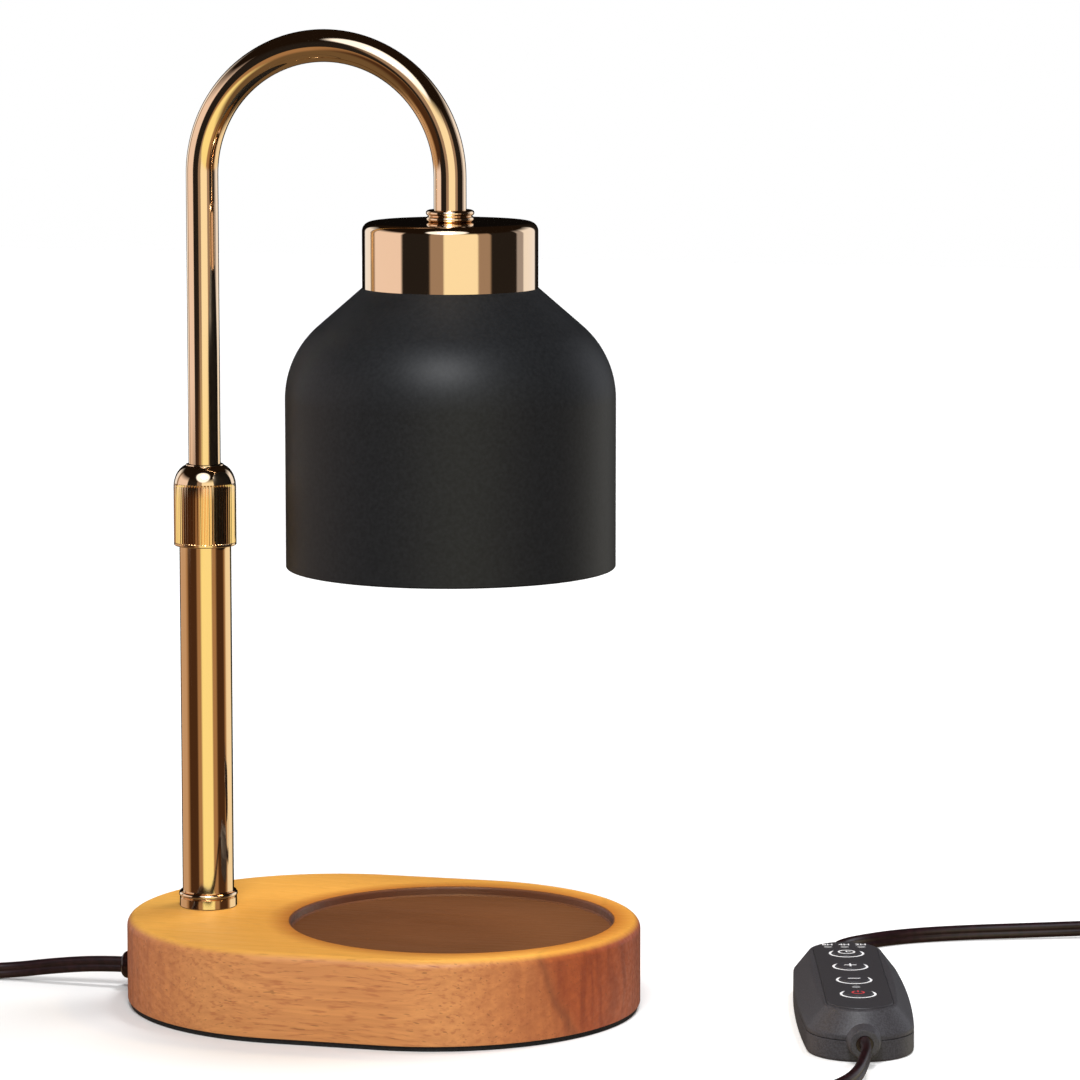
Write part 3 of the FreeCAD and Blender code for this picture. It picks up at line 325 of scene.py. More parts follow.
def spread(tree, value, start=0.0, end=1.0, low=0.0, high=1.0):
    """Spreads the values from start to end over the range from low to high, and holds them there beyond."""
    settings = {"From Min": start, "From Max": end, "To Min": low, "To Max": high}
    return add(tree, "ShaderNodeMapRange", settings, Value=value)


def object_coordinates(tree):
    return add(tree, "ShaderNodeTexCoord").outputs["Object"]


def reach_from(tree, place, x=-SHADE_X, y=0.0):
    """How far a place lies from an upright axis, by default the shade's. The shift is in millimetres."""
    level = add(tree, "ShaderNodeMapping", {"Location": mm(x, y, 0), "Scale": (1.0, 1.0, 0.0)}, Vector=place)
    return add(tree, "ShaderNodeVectorMath", {"operation": "LENGTH"}, i0=level).outputs["Value"]


def oiled_rubberwood():
    """Rubberwood, sawn flat, turned and oiled: wavy growth rings 4 mm apart that run along the base, fine
    fibres, small dark pores, and a rosier, streaky end grain on the round ends."""
    material, tree = new_material("oiled_rubberwood")
    place = object_coordinates(tree)
    drift = noise(tree, place, stretch=(9.0, 26.0, 26.0))
    drift_from_middle = add(tree, "ShaderNodeVectorMath", {"operation": "SUBTRACT", 1: (0.5, 0.5, 0.5)},
                            i0=drift.outputs["Color"])
    pushed = add(tree, "ShaderNodeVectorMath", {"operation": "SCALE", "Scale": 0.014}, i0=drift_from_middle)
    warped = add(tree, "ShaderNodeVectorMath", {"operation": "ADD"}, i0=place, i1=pushed)
    # The heart of the tree lay under the board, so the rings are cut flat on top and stand at the ends.
    from_heart = add(tree, "ShaderNodeMapping", {"Location": (0.0, -0.012, 0.062), "Scale": (0.06, 1.0, 1.0)},
                     Vector=warped)
    distance = add(tree, "ShaderNodeVectorMath", {"operation": "LENGTH"}, i0=from_heart)
    rings = maths(tree, "MULTIPLY", None, 250.0, i0=distance.outputs["Value"])
    ring = maths(tree, "FRACT", i0=rings)
    ring_tone = ramp(tree, [(0.0, grey(0.1)), (0.5, grey(0.3)), (0.86, grey(0.8)), (1.0, grey(0.1))], ring)

    def dark_share(pattern, low, high):
        """How much of a pattern's colour shows: none up to the low value, and all from the high one on."""
        return ramp(tree, [(low, grey(0.0)), (high, grey(1.0))], pattern)

    fibre = noise(tree, warped, detail=4.0, stretch=(22.0, 600.0, 600.0), roughness=0.65)
    fibre_tone = dark_share(fibre, 0.35, 0.68)
    fleck_tone = dark_share(noise(tree, warped, stretch=(150.0, 1000.0, 1000.0)), 0.54, 0.68)
    pore_tone = dark_share(noise(tree, warped, detail=1.0, stretch=(170.0, 1300.0, 1300.0)), 0.66, 0.74)
    streak_tone = dark_share(noise(tree, warped, detail=3.0, stretch=(330.0, 330.0, 28.0)), 0.42, 0.66)
    cloud = noise(tree, place, scale=24.0)
    normal = add(tree, "ShaderNodeNewGeometry").outputs["Normal"]
    normal_parts = add(tree, "ShaderNodeSeparateXYZ", Vector=normal)
    end_grain = dark_share(maths(tree, "ABSOLUTE", i0=normal_parts.outputs["X"]), 0.35, 0.9)
    # How much a face looks up, which sets the painted glow on the top faces.
    painted_top_glow_share = dark_share(normal_parts.outputs["Z"], 0.5, 0.95)

    def mixed(kind, code, share, below, strength=1.0):
        """Lays a colour over the one below it, by its share."""
        amount = maths(tree, "MULTIPLY", None, strength, i0=share)
        settings = {"data_type": "RGBA", "blend_type": kind, 7: paint(code)}
        layer = add(tree, "ShaderNodeMix", settings, i0=amount)
        tree.links.new(below.outputs[2], layer.inputs[6])
        return layer

    light = add(tree, "ShaderNodeMix", {"data_type": "RGBA", 6: paint("#E09C5B"), 7: paint("#CF8849")},
                i0=cloud)
    ringed = mixed("MIX", "#B4703C", ring_tone, light, 0.4)
    fibred = mixed("MIX", "#B06C3C", fibre_tone, ringed, 0.5)
    sideways = maths(tree, "SUBTRACT", 1.0, i1=end_grain)
    side_flecks = maths(tree, "MULTIPLY", i0=fleck_tone, i1=sideways)
    flecked = mixed("MIX", "#A2542F", side_flecks, fibred, 0.46)
    end_streaks = maths(tree, "MULTIPLY", i0=streak_tone, i1=end_grain)
    streaked = mixed("MIX", "#93512F", end_streaks, flecked, 0.5)
    rosy = mixed("MULTIPLY", "#E8C0AE", end_grain, streaked)
    # One end is redder, past a dark line that leans across the side.
    side_parts = add(tree, "ShaderNodeSeparateXYZ", Vector=warped)
    lean = maths(tree, "MULTIPLY_ADD", None, 0.29, i0=side_parts.outputs["Z"], i2=side_parts.outputs["X"])
    redder = mixed("MULTIPLY", "#EACDC0", spread(tree, lean, 0.068, 0.073), rosy)
    over_line = spread(tree, lean, 0.0690, 0.0716)
    line = ramp(tree, [(0.0, grey(0.0)), (0.45, grey(1.0)), (0.55, grey(1.0)), (1.0, grey(0.0))], over_line)
    lined = mixed("MIX", "#7C4426", line, redder, 0.45)
    pored = mixed("MIX", "#74421F", pore_tone, lined, 0.5)
    # The top faces are painted a warmer, brighter yellow: a painted glow of warm light falling on the top.
    top_glow_painted = mixed("MIX", "#F6BE4A", painted_top_glow_share, pored, 0.55)
    # The seat of the jar and the wood round its rim are painted darker: a painted shadow, as cast by the
    # shade and a jar above them.
    seat_reach = reach_from(tree, place)
    painted_rim_shadow = spread(tree, seat_reach, 0.0505, 0.0575, 1.0, 0.0)
    rim_shadow_painted = mixed("MULTIPLY", "#B98A62", painted_rim_shadow, top_glow_painted, 0.7)
    # The seat's floor is painted dark brown as well: painted shadow.
    painted_seat_shadow = maths(tree, "LESS_THAN", None, 0.0502, i0=seat_reach)
    seat_shadow_painted = mixed("MIX", "#583828", painted_seat_shadow, rim_shadow_painted, 0.85)
    # The pores are sunk and the fibres stand up a little.
    sunk = maths(tree, "MULTIPLY_ADD", None, -0.6, 0.5, i0=pore_tone)
    raised = maths(tree, "MULTIPLY_ADD", None, 0.3, i0=fibre_tone, i2=sunk)
    bump = relief(tree, raised, 0.35, 0.00015)
    rough = spread(tree, fibre_tone, low=0.42, high=0.6)
    finish_material(tree, {"IOR": 1.5}, Base_Color=seat_shadow_painted.outputs[2], Normal=bump, Roughness=rough)
    return material


def brass_plate():
    """Steel tube, buffed and plated with pale gold brass: mirror bright, with faint draw lines along it and
    a little haze where it has been wiped."""
    material, tree = new_material("polished_gold_plate")
    place = object_coordinates(tree)
    rough = spread(tree, noise(tree, place, 60.0, 3.0), 0.35, 0.7, 0.03, 0.07)
    bump = relief(tree, noise(tree, place, stretch=(900.0, 900.0, 20.0)), 0.05, 0.00002)
    finish_material(tree, {"Base Color": paint("#F8D9B4"), "Metallic": 1.0}, Roughness=rough, Normal=bump)
    return material


def powder_coat():
    """Spun aluminium, powder coated matt black: a fine orange peel with grains about half a millimetre
    apart, and a broad dull highlight."""
    material, tree = new_material("matt_black_powder_coat")
    place = object_coordinates(tree)
    colour = ramp(tree, [(0.3, paint("#161719")), (0.7, paint("#1E1F21"))], noise(tree, place, 900.0))
    bump = relief(tree, noise(tree, place, 1800.0, 3.0), 0.25, 0.00004)
    finish_material(tree, {"Roughness": 0.48, "IOR": 1.45, "Specular IOR Level": 0.3}, Base_Color=colour,
                    Normal=bump)
    return material


def moulded(name, code, second, roughness, scale, distance, strength):
    """A moulded or pressed piece: two close tones in specks, and a fine even relief of the same scale."""
    material, tree = new_material(name)
    place = object_coordinates(tree)
    colour = ramp(tree, [(0.38, paint(code)), (0.62, paint(second))], noise(tree, place, scale))
    bump = relief(tree, noise(tree, place, scale, 3.0), strength, distance)
    finish_material(tree, {"Roughness": roughness, "IOR": 1.5}, Base_Color=colour, Normal=bump)
    return material


def printed(name, code):
    """Screen-printed ink: flat, even and a little duller than the plastic under it."""
    material, tree = new_material(name)
    rough = spread(tree, noise(tree, object_coordinates(tree), 2500.0, 1.0), low=0.5, high=0.7)
    finish_material(tree, {"Base Color": paint(code)}, Roughness=rough)
    return material


def bare_metal(name, code, low, high, scale):
    """A plain metal part with the haze that machining or rolling leaves."""
    material, tree = new_material(name)
    rough = spread(tree, noise(tree, object_coordinates(tree), scale, 3.0), low=low, high=high)
    finish_material(tree, {"Base Color": paint(code), "Metallic": 1.0}, Roughness=rough)
    return material


def lamp_glass():
    """Pressed, frosted glass of a reflector lamp's face, lit warm from behind by its capsule."""
    material, tree = new_material("frosted_lamp_glass")
    place = object_coordinates(tree)
    # 40 times a reach in metres is 1 at 25 mm, where the lens meets the reflector's edge.
    outward = maths(tree, "MULTIPLY", None, 40.0, i0=reach_from(tree, place))
    glow = ramp(tree, [(0.0, paint("#FFE9B8")), (0.3, paint("#FFD894")), (1.0, paint("#F0A850"))], outward)
    bump = relief(tree, add(tree, "ShaderNodeTexVoronoi", {"Scale": 420.0}, Vector=place), 0.6, 0.0003)
    finish_material(tree, {"Roughness": 0.35, "Emission Strength": 1.0, "Base Color": paint("#F4E6C8")},
                    Emission_Color=glow, Normal=bump)
    return material


wood = oiled_rubberwood()
gold = brass_plate()
black_coat = powder_coat()
# EVA foam sheet, die cut: dull black with small open cells.
foam = moulded("black_eva_foam", "#121212", "#1E1E1E", 0.9, 1500.0, 0.0001, 0.6)
# Nylon bushing, moulded in a polished mould: very dark red-brown, with a sharp small highlight.
nylon = moulded("glossy_dark_nylon", "#1A0B09", "#24100D", 0.16, 700.0, 0.00002, 0.15)
# PVC flex sheath, extruded: near black with a maroon cast, satin, slightly rippled.
sheath = moulded("dark_pvc_sheath", "#1C0D0F", "#281316", 0.34, 500.0, 0.00003, 0.3)
# ABS housing with an eroded grain: dark warm grey with pale speckles half a millimetre apart.
housing_abs = moulded("grained_dark_abs", "#363437", "#454347", 0.5, 1900.0, 0.00008, 0.7)
# ABS panel let into the housing: the same grey with a finer grain, so its edge shows.
panel_abs = moulded("fine_grained_dark_abs", "#333134", "#3D3B3E", 0.45, 2600.0, 0.00005, 0.5)
# ABS button caps from a smoother mould: a soft sheen that tells them from the panel.
button_abs = moulded("satin_dark_abs", "#38363A", "#3E3C40", 0.4, 2400.0, 0.00003, 0.3)
# Polycarbonate light pipes, unlit: milky grey and smooth.
light_pipe = moulded("milky_polycarbonate", "#8E8E90", "#A4A4A6", 0.3, 300.0, 0.00002, 0.1)
# Woven nylon tie with hooks: black, dry and rough.
tie_web = moulded("black_hook_tie", "#151516", "#232324", 0.85, 1400.0, 0.0002, 0.9)
white_ink = printed("white_ink", "#EFEFF2")
red_ink = printed("red_ink", "#C43A42")
# Steatite ceramic, pressed and fired: off-white, dry and even.
steatite = moulded("white_steatite", "#E6E2D8", "#EFECE4", 0.55, 900.0, 0.00004, 0.3)
# Nickel plate: pale and fairly bright. Zinc plate: bluish and dull. Brass: yellow, with a turned haze.
nickel = bare_metal("plated_nickel", "#D9D5CE", 0.16, 0.3, 400.0)
zinc_steel = bare_metal("zinc_plated_steel", "#B9BBBE", 0.28, 0.45, 250.0)
machined_brass = bare_metal("machined_brass", "#D9B36A", 0.22, 0.38, 300.0)
# Aluminised glass: the bulb's mirror, nearly clear of haze.
mirror_coat = bare_metal("aluminised_glass", "#E8E4DC", 0.08, 0.16, 120.0)
lens_glass = lamp_glass()
# Solder mask on a glass-fibre board: a satin deep green.
fibreglass = moulded("green_solder_mask", "#1E4D33", "#265A3D", 0.35, 600.0, 0.00003, 0.2)
# Quartz capsule: pale, smooth and glossy.
clear_quartz = moulded("clear_quartz", "#D8DCDD", "#E6E9EA", 0.08, 200.0, 0.00001, 0.05)

# By slot, the finishes of the solids that stay in the scene.
slot_materials = {
    "steel": zinc_steel, "brass": machined_brass, "nylon": nylon, "ceramic": steatite,
    "clear_glass": clear_quartz, "black_plastic": housing_abs, "board": fibreglass, "cord_pvc": sheath,
    "tie_fabric": tie_web, "plated_blade": nickel,
}


# The view: from the right and a little above, through a long lens

def set_view():
    camera_data = bpy.data.cameras.new("view_from_the_right")
    camera_data.lens = 165.33
    camera_data.sensor_width = 36.0
    camera = new_object("view_from_the_right", camera_data)
    camera.location = mm(436.5, -1441.9, 342.8)
    camera.rotation_euler = (math.radians(90 - VIEW_DIP), 0, math.radians(VIEW_YAW))
    bpy.context.scene.camera = camera


set_view()


# Cords: a flat twin flex, 5 mm by 3 mm, that stands on edge with a groove along each side

def controller_spot(y):
    """A point on the cord's axis at the controller, by its distance from the middle of the housing."""
    yaw = math.radians(CONTROLLER_YAW)
    return CONTROLLER_X - y * math.sin(yaw), CONTROLLER_Y + y * math.cos(yaw), 7.0


lamp_cord_route = [
    (BASE_LEFT, 0.0, 7.1),
    (BASE_LEFT - 12.0, 0.0, 7.1),
    (BASE_LEFT - 28.0, 0.0, 5.4),
    (BASE_LEFT - 44.5, 0.6, 2.6),
    (BASE_LEFT - 60.5, -3.5, 2.5),
    (BASE_LEFT - 73.0, -17.0, 2.5),
    (BASE_LEFT - 76.0, -41.0, 2.5),
    (BASE_LEFT - 67.5, -80.0, 2.5),
    (BASE_LEFT - 54.0, -119.0, 2.5),
    (BASE_LEFT - 31.5, -147.5, 2.5),
    (BASE_LEFT + 5.0, -158.5, 2.5),
    (BASE_LEFT + 54.0, -150.5, 2.5),
    (BASE_RIGHT - 58.0, -132.0, 2.5),
    (BASE_RIGHT - 9.0, -123.5, 2.5),
    (BASE_RIGHT + 28.0, -112.0, 2.5),
    (BASE_RIGHT + 55.0, -106.5, 2.5),
    (BASE_RIGHT + 74.0, -97.5, 2.6),
    (BASE_RIGHT + 85.0, -81.5, 4.2),
    controller_spot(-71.2),
    controller_spot(-59.2),
]

# Through the housing and out of its far end to the coil.
mains_cord_route = [
    controller_spot(58.0),
    controller_spot(69.0),
    (BASE_RIGHT + 44.3, 92.5, 4.6),
    (BASE_RIGHT + 46.0, 109.5, 2.7),
    (BASE_RIGHT + 57.5, 124.5, 2.5),
    (BASE_RIGHT + 76.0, 135.5, 2.6),
    (BASE_RIGHT + 100.0, 144.5, 2.9),
    (207.5, 154.8, 3.4),
    (224.8, 159.4, 3.4),
]


def coil_points():
    """The spare cord: two and a bit turns wound inwards, half a turn up, and as many turns back out."""
    in_turns = 2.375
    climb_turns = 0.5
    pitch = 5.6
    outer_radius = 34.9
    first_layer = 3.4
    points = []
    count = round(16 * (2 * in_turns + climb_turns))
    for n in range(count + 1):
        turns = (2 * in_turns + climb_turns) * n / count
        if turns < in_turns:
            radius, height = outer_radius - pitch * turns, first_layer
        elif turns <= in_turns + climb_turns:
            share = (turns - in_turns) / climb_turns
            radius = outer_radius - pitch * in_turns - pitch * climb_turns * share * (1 - share)
            height = first_layer + pitch * share * share * (3 - 2 * share)
        else:
            radius = outer_radius - pitch * (2 * in_turns + climb_turns - turns)
            height = first_layer + pitch
        angle = math.radians(105.0) - 2 * math.pi * turns
        points.append((COIL_X + radius * math.cos(angle), COIL_Y + radius * math.sin(angle), height))
    return points


into_plug = [(271.9, 136.3, 9.0), (273.2, 131.5, 9.0)]
whole_route = lamp_cord_route + mains_cord_route + coil_points() + into_plug


def route_curve(name, route):
    curve = bpy.data.curves.new(name, "CURVE")
    curve.dimensions = "3D"
    curve.resolution_u = 8
    curve.twist_mode = "Z_UP"
    spline = curve.splines.new("NURBS")
    spline.points.add(len(route) - 1)
    for point, place in zip(spline.points, route):
        point.co = (*mm(*place), 1.0)
    spline.order_u = 3
    spline.use_endpoint_u = True
    return new_object(name, curve)


def flex_section():
    """The section of the flex: two round cores side by side, one over the other, in one sheath."""
    upper = arc((0.0, 1.02), 1.48, -40, 220, 18)
    lower = arc((0.0, -1.02), 1.48, 140, 400, 18)
    curve = bpy.data.curves.new("flex_section", "CURVE")
    curve.dimensions = "2D"
    spline = curve.splines.new("POLY")
    places = upper + lower
    spline.points.add(len(places) - 1)
    for point, (x, y) in zip(spline.points, places):
        point.co = (*mm(x, y, 0), 1.0)
    spline.use_cyclic_u = True
    return new_object("flex_section", curve)


def flex(name, route):
    """The flex as a mesh along its route, and the points that it follows."""
    line = route_curve(name, route)
    bpy.context.view_layer.update()
    plain = bpy.data.meshes.new_from_object(line.evaluated_get(bpy.context.evaluated_depsgraph_get()))
    path = [tuple(vertex.co) for vertex in plain.vertices]
    bpy.data.meshes.remove(plain)
    section = flex_section()
    line.data.bevel_mode = "OBJECT"
    line.data.bevel_object = section
    line.data.use_fill_caps = True
    only(line)
    bpy.ops.object.convert(target="MESH")
    cord = bpy.context.active_object
    cord.name = name
    cord.data.name = name
    bpy.data.objects.remove(section)
    bpy.ops.object.mode_set(mode="EDIT")
    weld()
    leave_edit(cord, 60)
    return cord, path


mains_flex, flex_path = flex("mains_flex", whole_route)
dress(mains_flex, sheath, "stand", "cord_pvc", "cord_to_controller", "cord_to_plug", "cord_coil")


# Wooden base

def wooden_base():
    base = slab("oiled_wood_base", stadium(160.0, 126.0), BASE_BOTTOM, BASE_TOP)
    round_rims(base, (BASE_TOP, 3.0, 8), (BASE_BOTTOM, 0.5, 2))
    seat_profile = ([(0.0, 24.5), (49.1, 24.5), (49.6, 25.0)] + arc((50.6, 26.5), 1.0, 180, 90, 6)
                    + [(50.6, 30.0), (0.0, 30.0)])
    cut(base, turned("seat_cutter", seat_profile, SHADE_AXIS, steps=160))
    bpy.ops.object.mode_set(mode="EDIT")
    weld()
    return even_light(leave_edit(base, 30))


base = dress(wooden_base(), wood, "stand", "wood", "wood_base")


def foot_pad():
    pad = slab("foam_foot_pad", stadium(158.4, 124.4), 0.0, BASE_BOTTOM)
    weld()
    return leave_edit(pad)


pad = dress(foot_pad(), foam, "stand", "pad", "base_pad")

# The base is kept out of what shines, so the bands in the post run straight down to its foot.
base_insides = ("ballast_plate", "ballast_screws", "post_nut", "post_washer", "post_nipple", "post_lead")
for piece in [base, pad] + [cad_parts[name] for name in base_insides]:
    piece.visible_glossy = False


# Post, collar and crook arm

flange_profile = ([(5.1, BASE_TOP), (8.6, BASE_TOP), (8.9, 27.8), (8.9, 30.4), (8.7, 30.6)]
                  + arc((8.25, 31.55), 0.9, -80, 80, 10)
                  + [(8.7, 32.5), (8.1, 32.5), (8.1, 29.0), (5.1, 29.0)])
flange = turned("post_flange_ring", flange_profile, POST_AXIS)
dress(flange, gold, "stand", "gold_plate", "post_flange")

tube_profile = [(7.0, 29.0), (8.0, 29.0), (8.0, 60.0), (8.0, 100.0), (8.0, 148.0), (7.0, 148.0)]
tube = turned("post_outer_tube", tube_profile, POST_AXIS)
dress(tube, gold, "stand", "gold_plate", "post_tube")


def ribbed_collar():
    """The collar that clamps the arm: sixty fine ribs stand between grooves that run out in its dome."""
    dome = [(4.65 + 5.0 * math.cos(math.radians(a)), 159.0 + 7.1 * math.sin(math.radians(a)))
            for a in range(0, 77, 4)]
    profile = ([(8.15, 141.0), (9.35, 141.0), (9.65, 141.3), (9.65, 141.8), (9.65, 142.0)]
               + [(9.65, 146.0), (9.65, 151.0), (9.65, 156.0)] + dome
               + [(5.8, 166.2), (5.8, 165.4), (6.2, 161.0), (8.15, 156.0)])
    collar = turned("ribbed_clamp_collar", profile, POST_AXIS, steps=240)
    # The normals that were set for the plain band would hide the ribs.
    bpy.ops.mesh.customdata_custom_splitnormals_clear()
    bpy.ops.object.mode_set(mode="EDIT")
    bpy.ops.mesh.select_all(action="DESELECT")
    bpy.ops.object.mode_set(mode="OBJECT")
    centre = Vector(mm(*POST_AXIS))
    for vertex in collar.data.vertices:
        out = vertex.co - centre
        radius = math.hypot(out.x, out.y) * 1000
        column = round(math.degrees(math.atan2(out.y, out.x)) / 1.5) % 4
        vertex.select = radius > 9.4 and 141.9 < vertex.co.z * 1000 < 160.2 and column in (0, 1)
    bpy.ops.object.mode_set(mode="EDIT")
    bpy.ops.mesh.select_mode(type="VERT")
    shrink = 9.2 / 9.65
    bpy.ops.transform.resize(value=(shrink, shrink, 1.0), center_override=mm(POST_X, 0.0, 150.0))
    return leave_edit(collar, 25)


dress(ribbed_collar(), gold, "collar", "gold_plate", "clamp_collar")


def crook_arm():
    """The arm: a circle drawn up, swept round the crook and drawn down, then given the tube's wall."""
    bpy.ops.object.select_all(action="DESELECT")
    bpy.ops.mesh.primitive_circle_add(vertices=64, radius=0.00497, location=mm(POST_X, 0, ARM_BOTTOM))
    arm = bpy.context.active_object
    arm.name = "crook_arm_tube"
    bpy.ops.object.transform_apply(location=True, rotation=True, scale=True)
    bpy.ops.object.mode_set(mode="EDIT")
    bpy.ops.mesh.select_all(action="SELECT")
    bpy.ops.mesh.extrude_edges_move(TRANSFORM_OT_translate={"value": mm(0, 0, CROOK_Z - ARM_BOTTOM)})
    bpy.ops.mesh.spin(steps=72, angle=math.pi, center=mm(CROOK_X, 0, CROOK_Z), axis=(0, -1, 0))
    bpy.ops.mesh.extrude_edges_move(TRANSFORM_OT_translate={"value": mm(0, 0, ARM_END - CROOK_Z)})
    weld()
    leave_edit(arm, 60)
    apply_modifier(arm, "SOLIDIFY", thickness=0.0008, offset=-1.0)
    # Again, because the rims that the wall has added would shade the long straight faces.
    return leave_edit(arm, 60)


dress(crook_arm(), gold, "arm", "gold_plate", "arm_tube")

two_beads = arc((6.5, 243.2), 0.85, -78, 78, 8) + arc((6.5, 245.0), 0.85, -78, 78, 8)
ring_nut_profile = [(6.5, 242.3)] + two_beads + [(6.5, 245.9), (5.1, 245.9), (5.1, 242.3)]
ring_nut = turned("beaded_ring_nut", ring_nut_profile, SHADE_AXIS)
dress(ring_nut, gold, "arm", "gold_plate", "cup_ring_nut")

cup_profile = ([(26.7, 222.3)] + arc((23.9, 239.5), 2.8, 0, 90, 10) + [(5.1, 242.3), (5.1, 241.1)]
               + arc((23.9, 239.5), 1.6, 90, 0, 8) + [(25.5, 222.3)])
cup = turned("drawn_socket_cup", cup_profile, SHADE_AXIS, steps=144)
dress(cup, gold, "arm", "gold_plate", "socket_cup")


# Shade, lampholder and bulb

def spun_shade():
    lean = 49.0
    shoulder_height = 188.57
    outside = [(14.0, 222.3), (26.7, 222.3)] + arc((21.3, shoulder_height), 29.0, lean, 0, 24)
    outside += [(50.3, 170.0), (50.3, 152.0), (50.3, 137.5)]
    rim = arc((49.8, 137.6), 0.5, 0, -180, 6)
    inside = [(49.3, 152.0), (49.3, 170.0)] + arc((21.3, shoulder_height), 28.0, 0, lean, 24)
    inside += [(26.33, 221.3), (14.0, 221.3)]
    return turned("spun_shade", outside + rim + inside, SHADE_AXIS, steps=176)


dress(spun_shade(), black_coat, "arm", "shade_black", "shade")

reflector_profile = [(12.0, 197.0), (12.4, 196.0), (14.2, 190.0), (17.6, 182.0), (20.9, 174.0), (23.6, 167.0),
                     (24.8, 163.5), (25.0, 162.0), (25.0, 158.9), (24.4, 158.1), (23.8, 158.3), (23.8, 162.5),
                     (19.6, 174.0), (16.3, 182.0), (12.9, 190.0), (11.0, 196.6)]
reflector = turned("pressed_reflector", reflector_profile, SHADE_AXIS, steps=120)
dress(reflector, mirror_coat, "arm", "mirror_glass", "bulb_reflector")
lens_profile = [(0.0, 158.35), (12.0, 158.4), (23.2, 158.6), (23.7, 159.0), (23.7, 160.6), (0.0, 160.6)]
lens = turned("bulb_face_lens", lens_profile, SHADE_AXIS)
dress(lens, lens_glass, "arm", "clear_glass", "bulb_lens")

grommet_profile = ([(2.6, 0.4), (2.6, -5.0), (3.0, -5.3)] + arc((2.7, -3.7), 1.6, 270, 360, 8)
                   + [(4.3, 0.0), (3.6, 0.0), (3.6, 0.4)])
grommet = turned("cord_exit_bushing", grommet_profile, (BASE_LEFT, 0.0, 7.1), axis="X", steps=64)
dress(grommet, nylon, "stand", "nylon", "cord_grommet")


# Controller on the cord, made along Y at the origin with its face up, then turned to its place

def barrel(inset):
    """The housing's outline: bowed sides and round ends, drawn in by the inset."""
    half_width, half_length, bow = 17.2, 53.0, 1.2
    side_half = half_length - half_width
    # The side's bow and the end's radius depend on each other, and settle in a few rounds.
    for _ in range(6):
        slope = 2 * math.atan(bow / side_half)
        end_radius = (half_width - bow) / math.cos(slope)
        side_half = half_length - end_radius + end_radius * math.sin(slope)
    side_radius = side_half / math.sin(slope)
    end_centre = half_length - end_radius
    tilt = math.degrees(slope)
    points = arc((half_width - side_radius, 0.0), side_radius - inset, -tilt, tilt, 16)[:-1]
    points += arc((0.0, end_centre), end_radius - inset, tilt, 180 - tilt, 28)[:-1]
    points += arc((side_radius - half_width, 0.0), side_radius - inset, 180 - tilt, 180 + tilt, 16)[:-1]
    points += arc((0.0, -end_centre), end_radius - inset, 180 + tilt, 360 - tilt, 28)[:-1]
    return points


def oblong(length, width, steps=20):
    return [(-y, x) for x, y in stadium(length, width, steps)]


def on_controller(obj, material, body, slot, *nodes):
    stand(obj, CONTROLLER_X, CONTROLLER_Y, CONTROLLER_YAW)
    return dress(obj, material, body, slot, *nodes)


def lower_shell():
    shell = slab("controller_lower_shell", barrel(0.0), 0.0, 6.4)
    round_rims(shell, (0.0, 1.0, 4), (6.4, 0.2, 2))
    bpy.ops.object.mode_set(mode="EDIT")
    weld()
    return even_light(leave_edit(shell))


def upper_shell():
    shell = slab("controller_upper_shell", barrel(0.0), 6.55, 8.0)
    bpy.ops.mesh.inset(thickness=0.0052, depth=0.0, use_even_offset=True)
    bpy.ops.transform.translate(value=mm(0, 0, 6.6))
    round_rims(shell, (14.6, 0.6, 3), (8.0, 0.5, 3), (6.55, 0.2, 2))
    well = slab("panel_well", oblong(93.3, 20.1), 13.5, 16.0)
    weld()
    bpy.ops.object.mode_set(mode="OBJECT")
    cut(shell, well)
    return even_light(leave_edit(shell))


BUTTONS = {"timer": 29.0, "brighter": 10.3, "dimmer": -8.5, "power": -27.7}
LIGHTS = [(-5.2, 38.7), (0.0, 38.7), (5.2, 38.7), (0.0, -18.0)]


def face_panel():
    panel = slab("controller_face_panel_skin", oblong(93.0, 19.8), 13.6, PANEL_TOP)
    round_rims(panel, (PANEL_TOP, 0.35, 3))
    for y in BUTTONS.values():
        cut(panel, turned("button_hole", rod(4.7, 10.0, 20.0), (0.0, y, 0.0), steps=64))
    for x, y in LIGHTS:
        cut(panel, turned("light_hole", rod(1.35, 10.0, 20.0), (x, y, 0.0), steps=32))
    return even_light(leave_edit(panel))


def flat_mark(name, outline, material, height):
    """A printed mark: a very thin plate of that outline."""
    mark = slab(name, outline, height, height + INK)
    weld()
    bpy.ops.object.mode_set(mode="OBJECT")
    mark.data.materials.append(material)
    return mark


def ring_mark(name, y, inner, outer, height, material):
    mark = turned(name, [(inner, 0.0), (outer, 0.0), (outer, INK), (inner, INK)], (0.0, y, height), steps=64)
    mark.data.materials.append(material)
    return mark


def bar(x0, x1, y0, y1):
    return [(x0, y0), (x1, y0), (x1, y1), (x0, y1)]


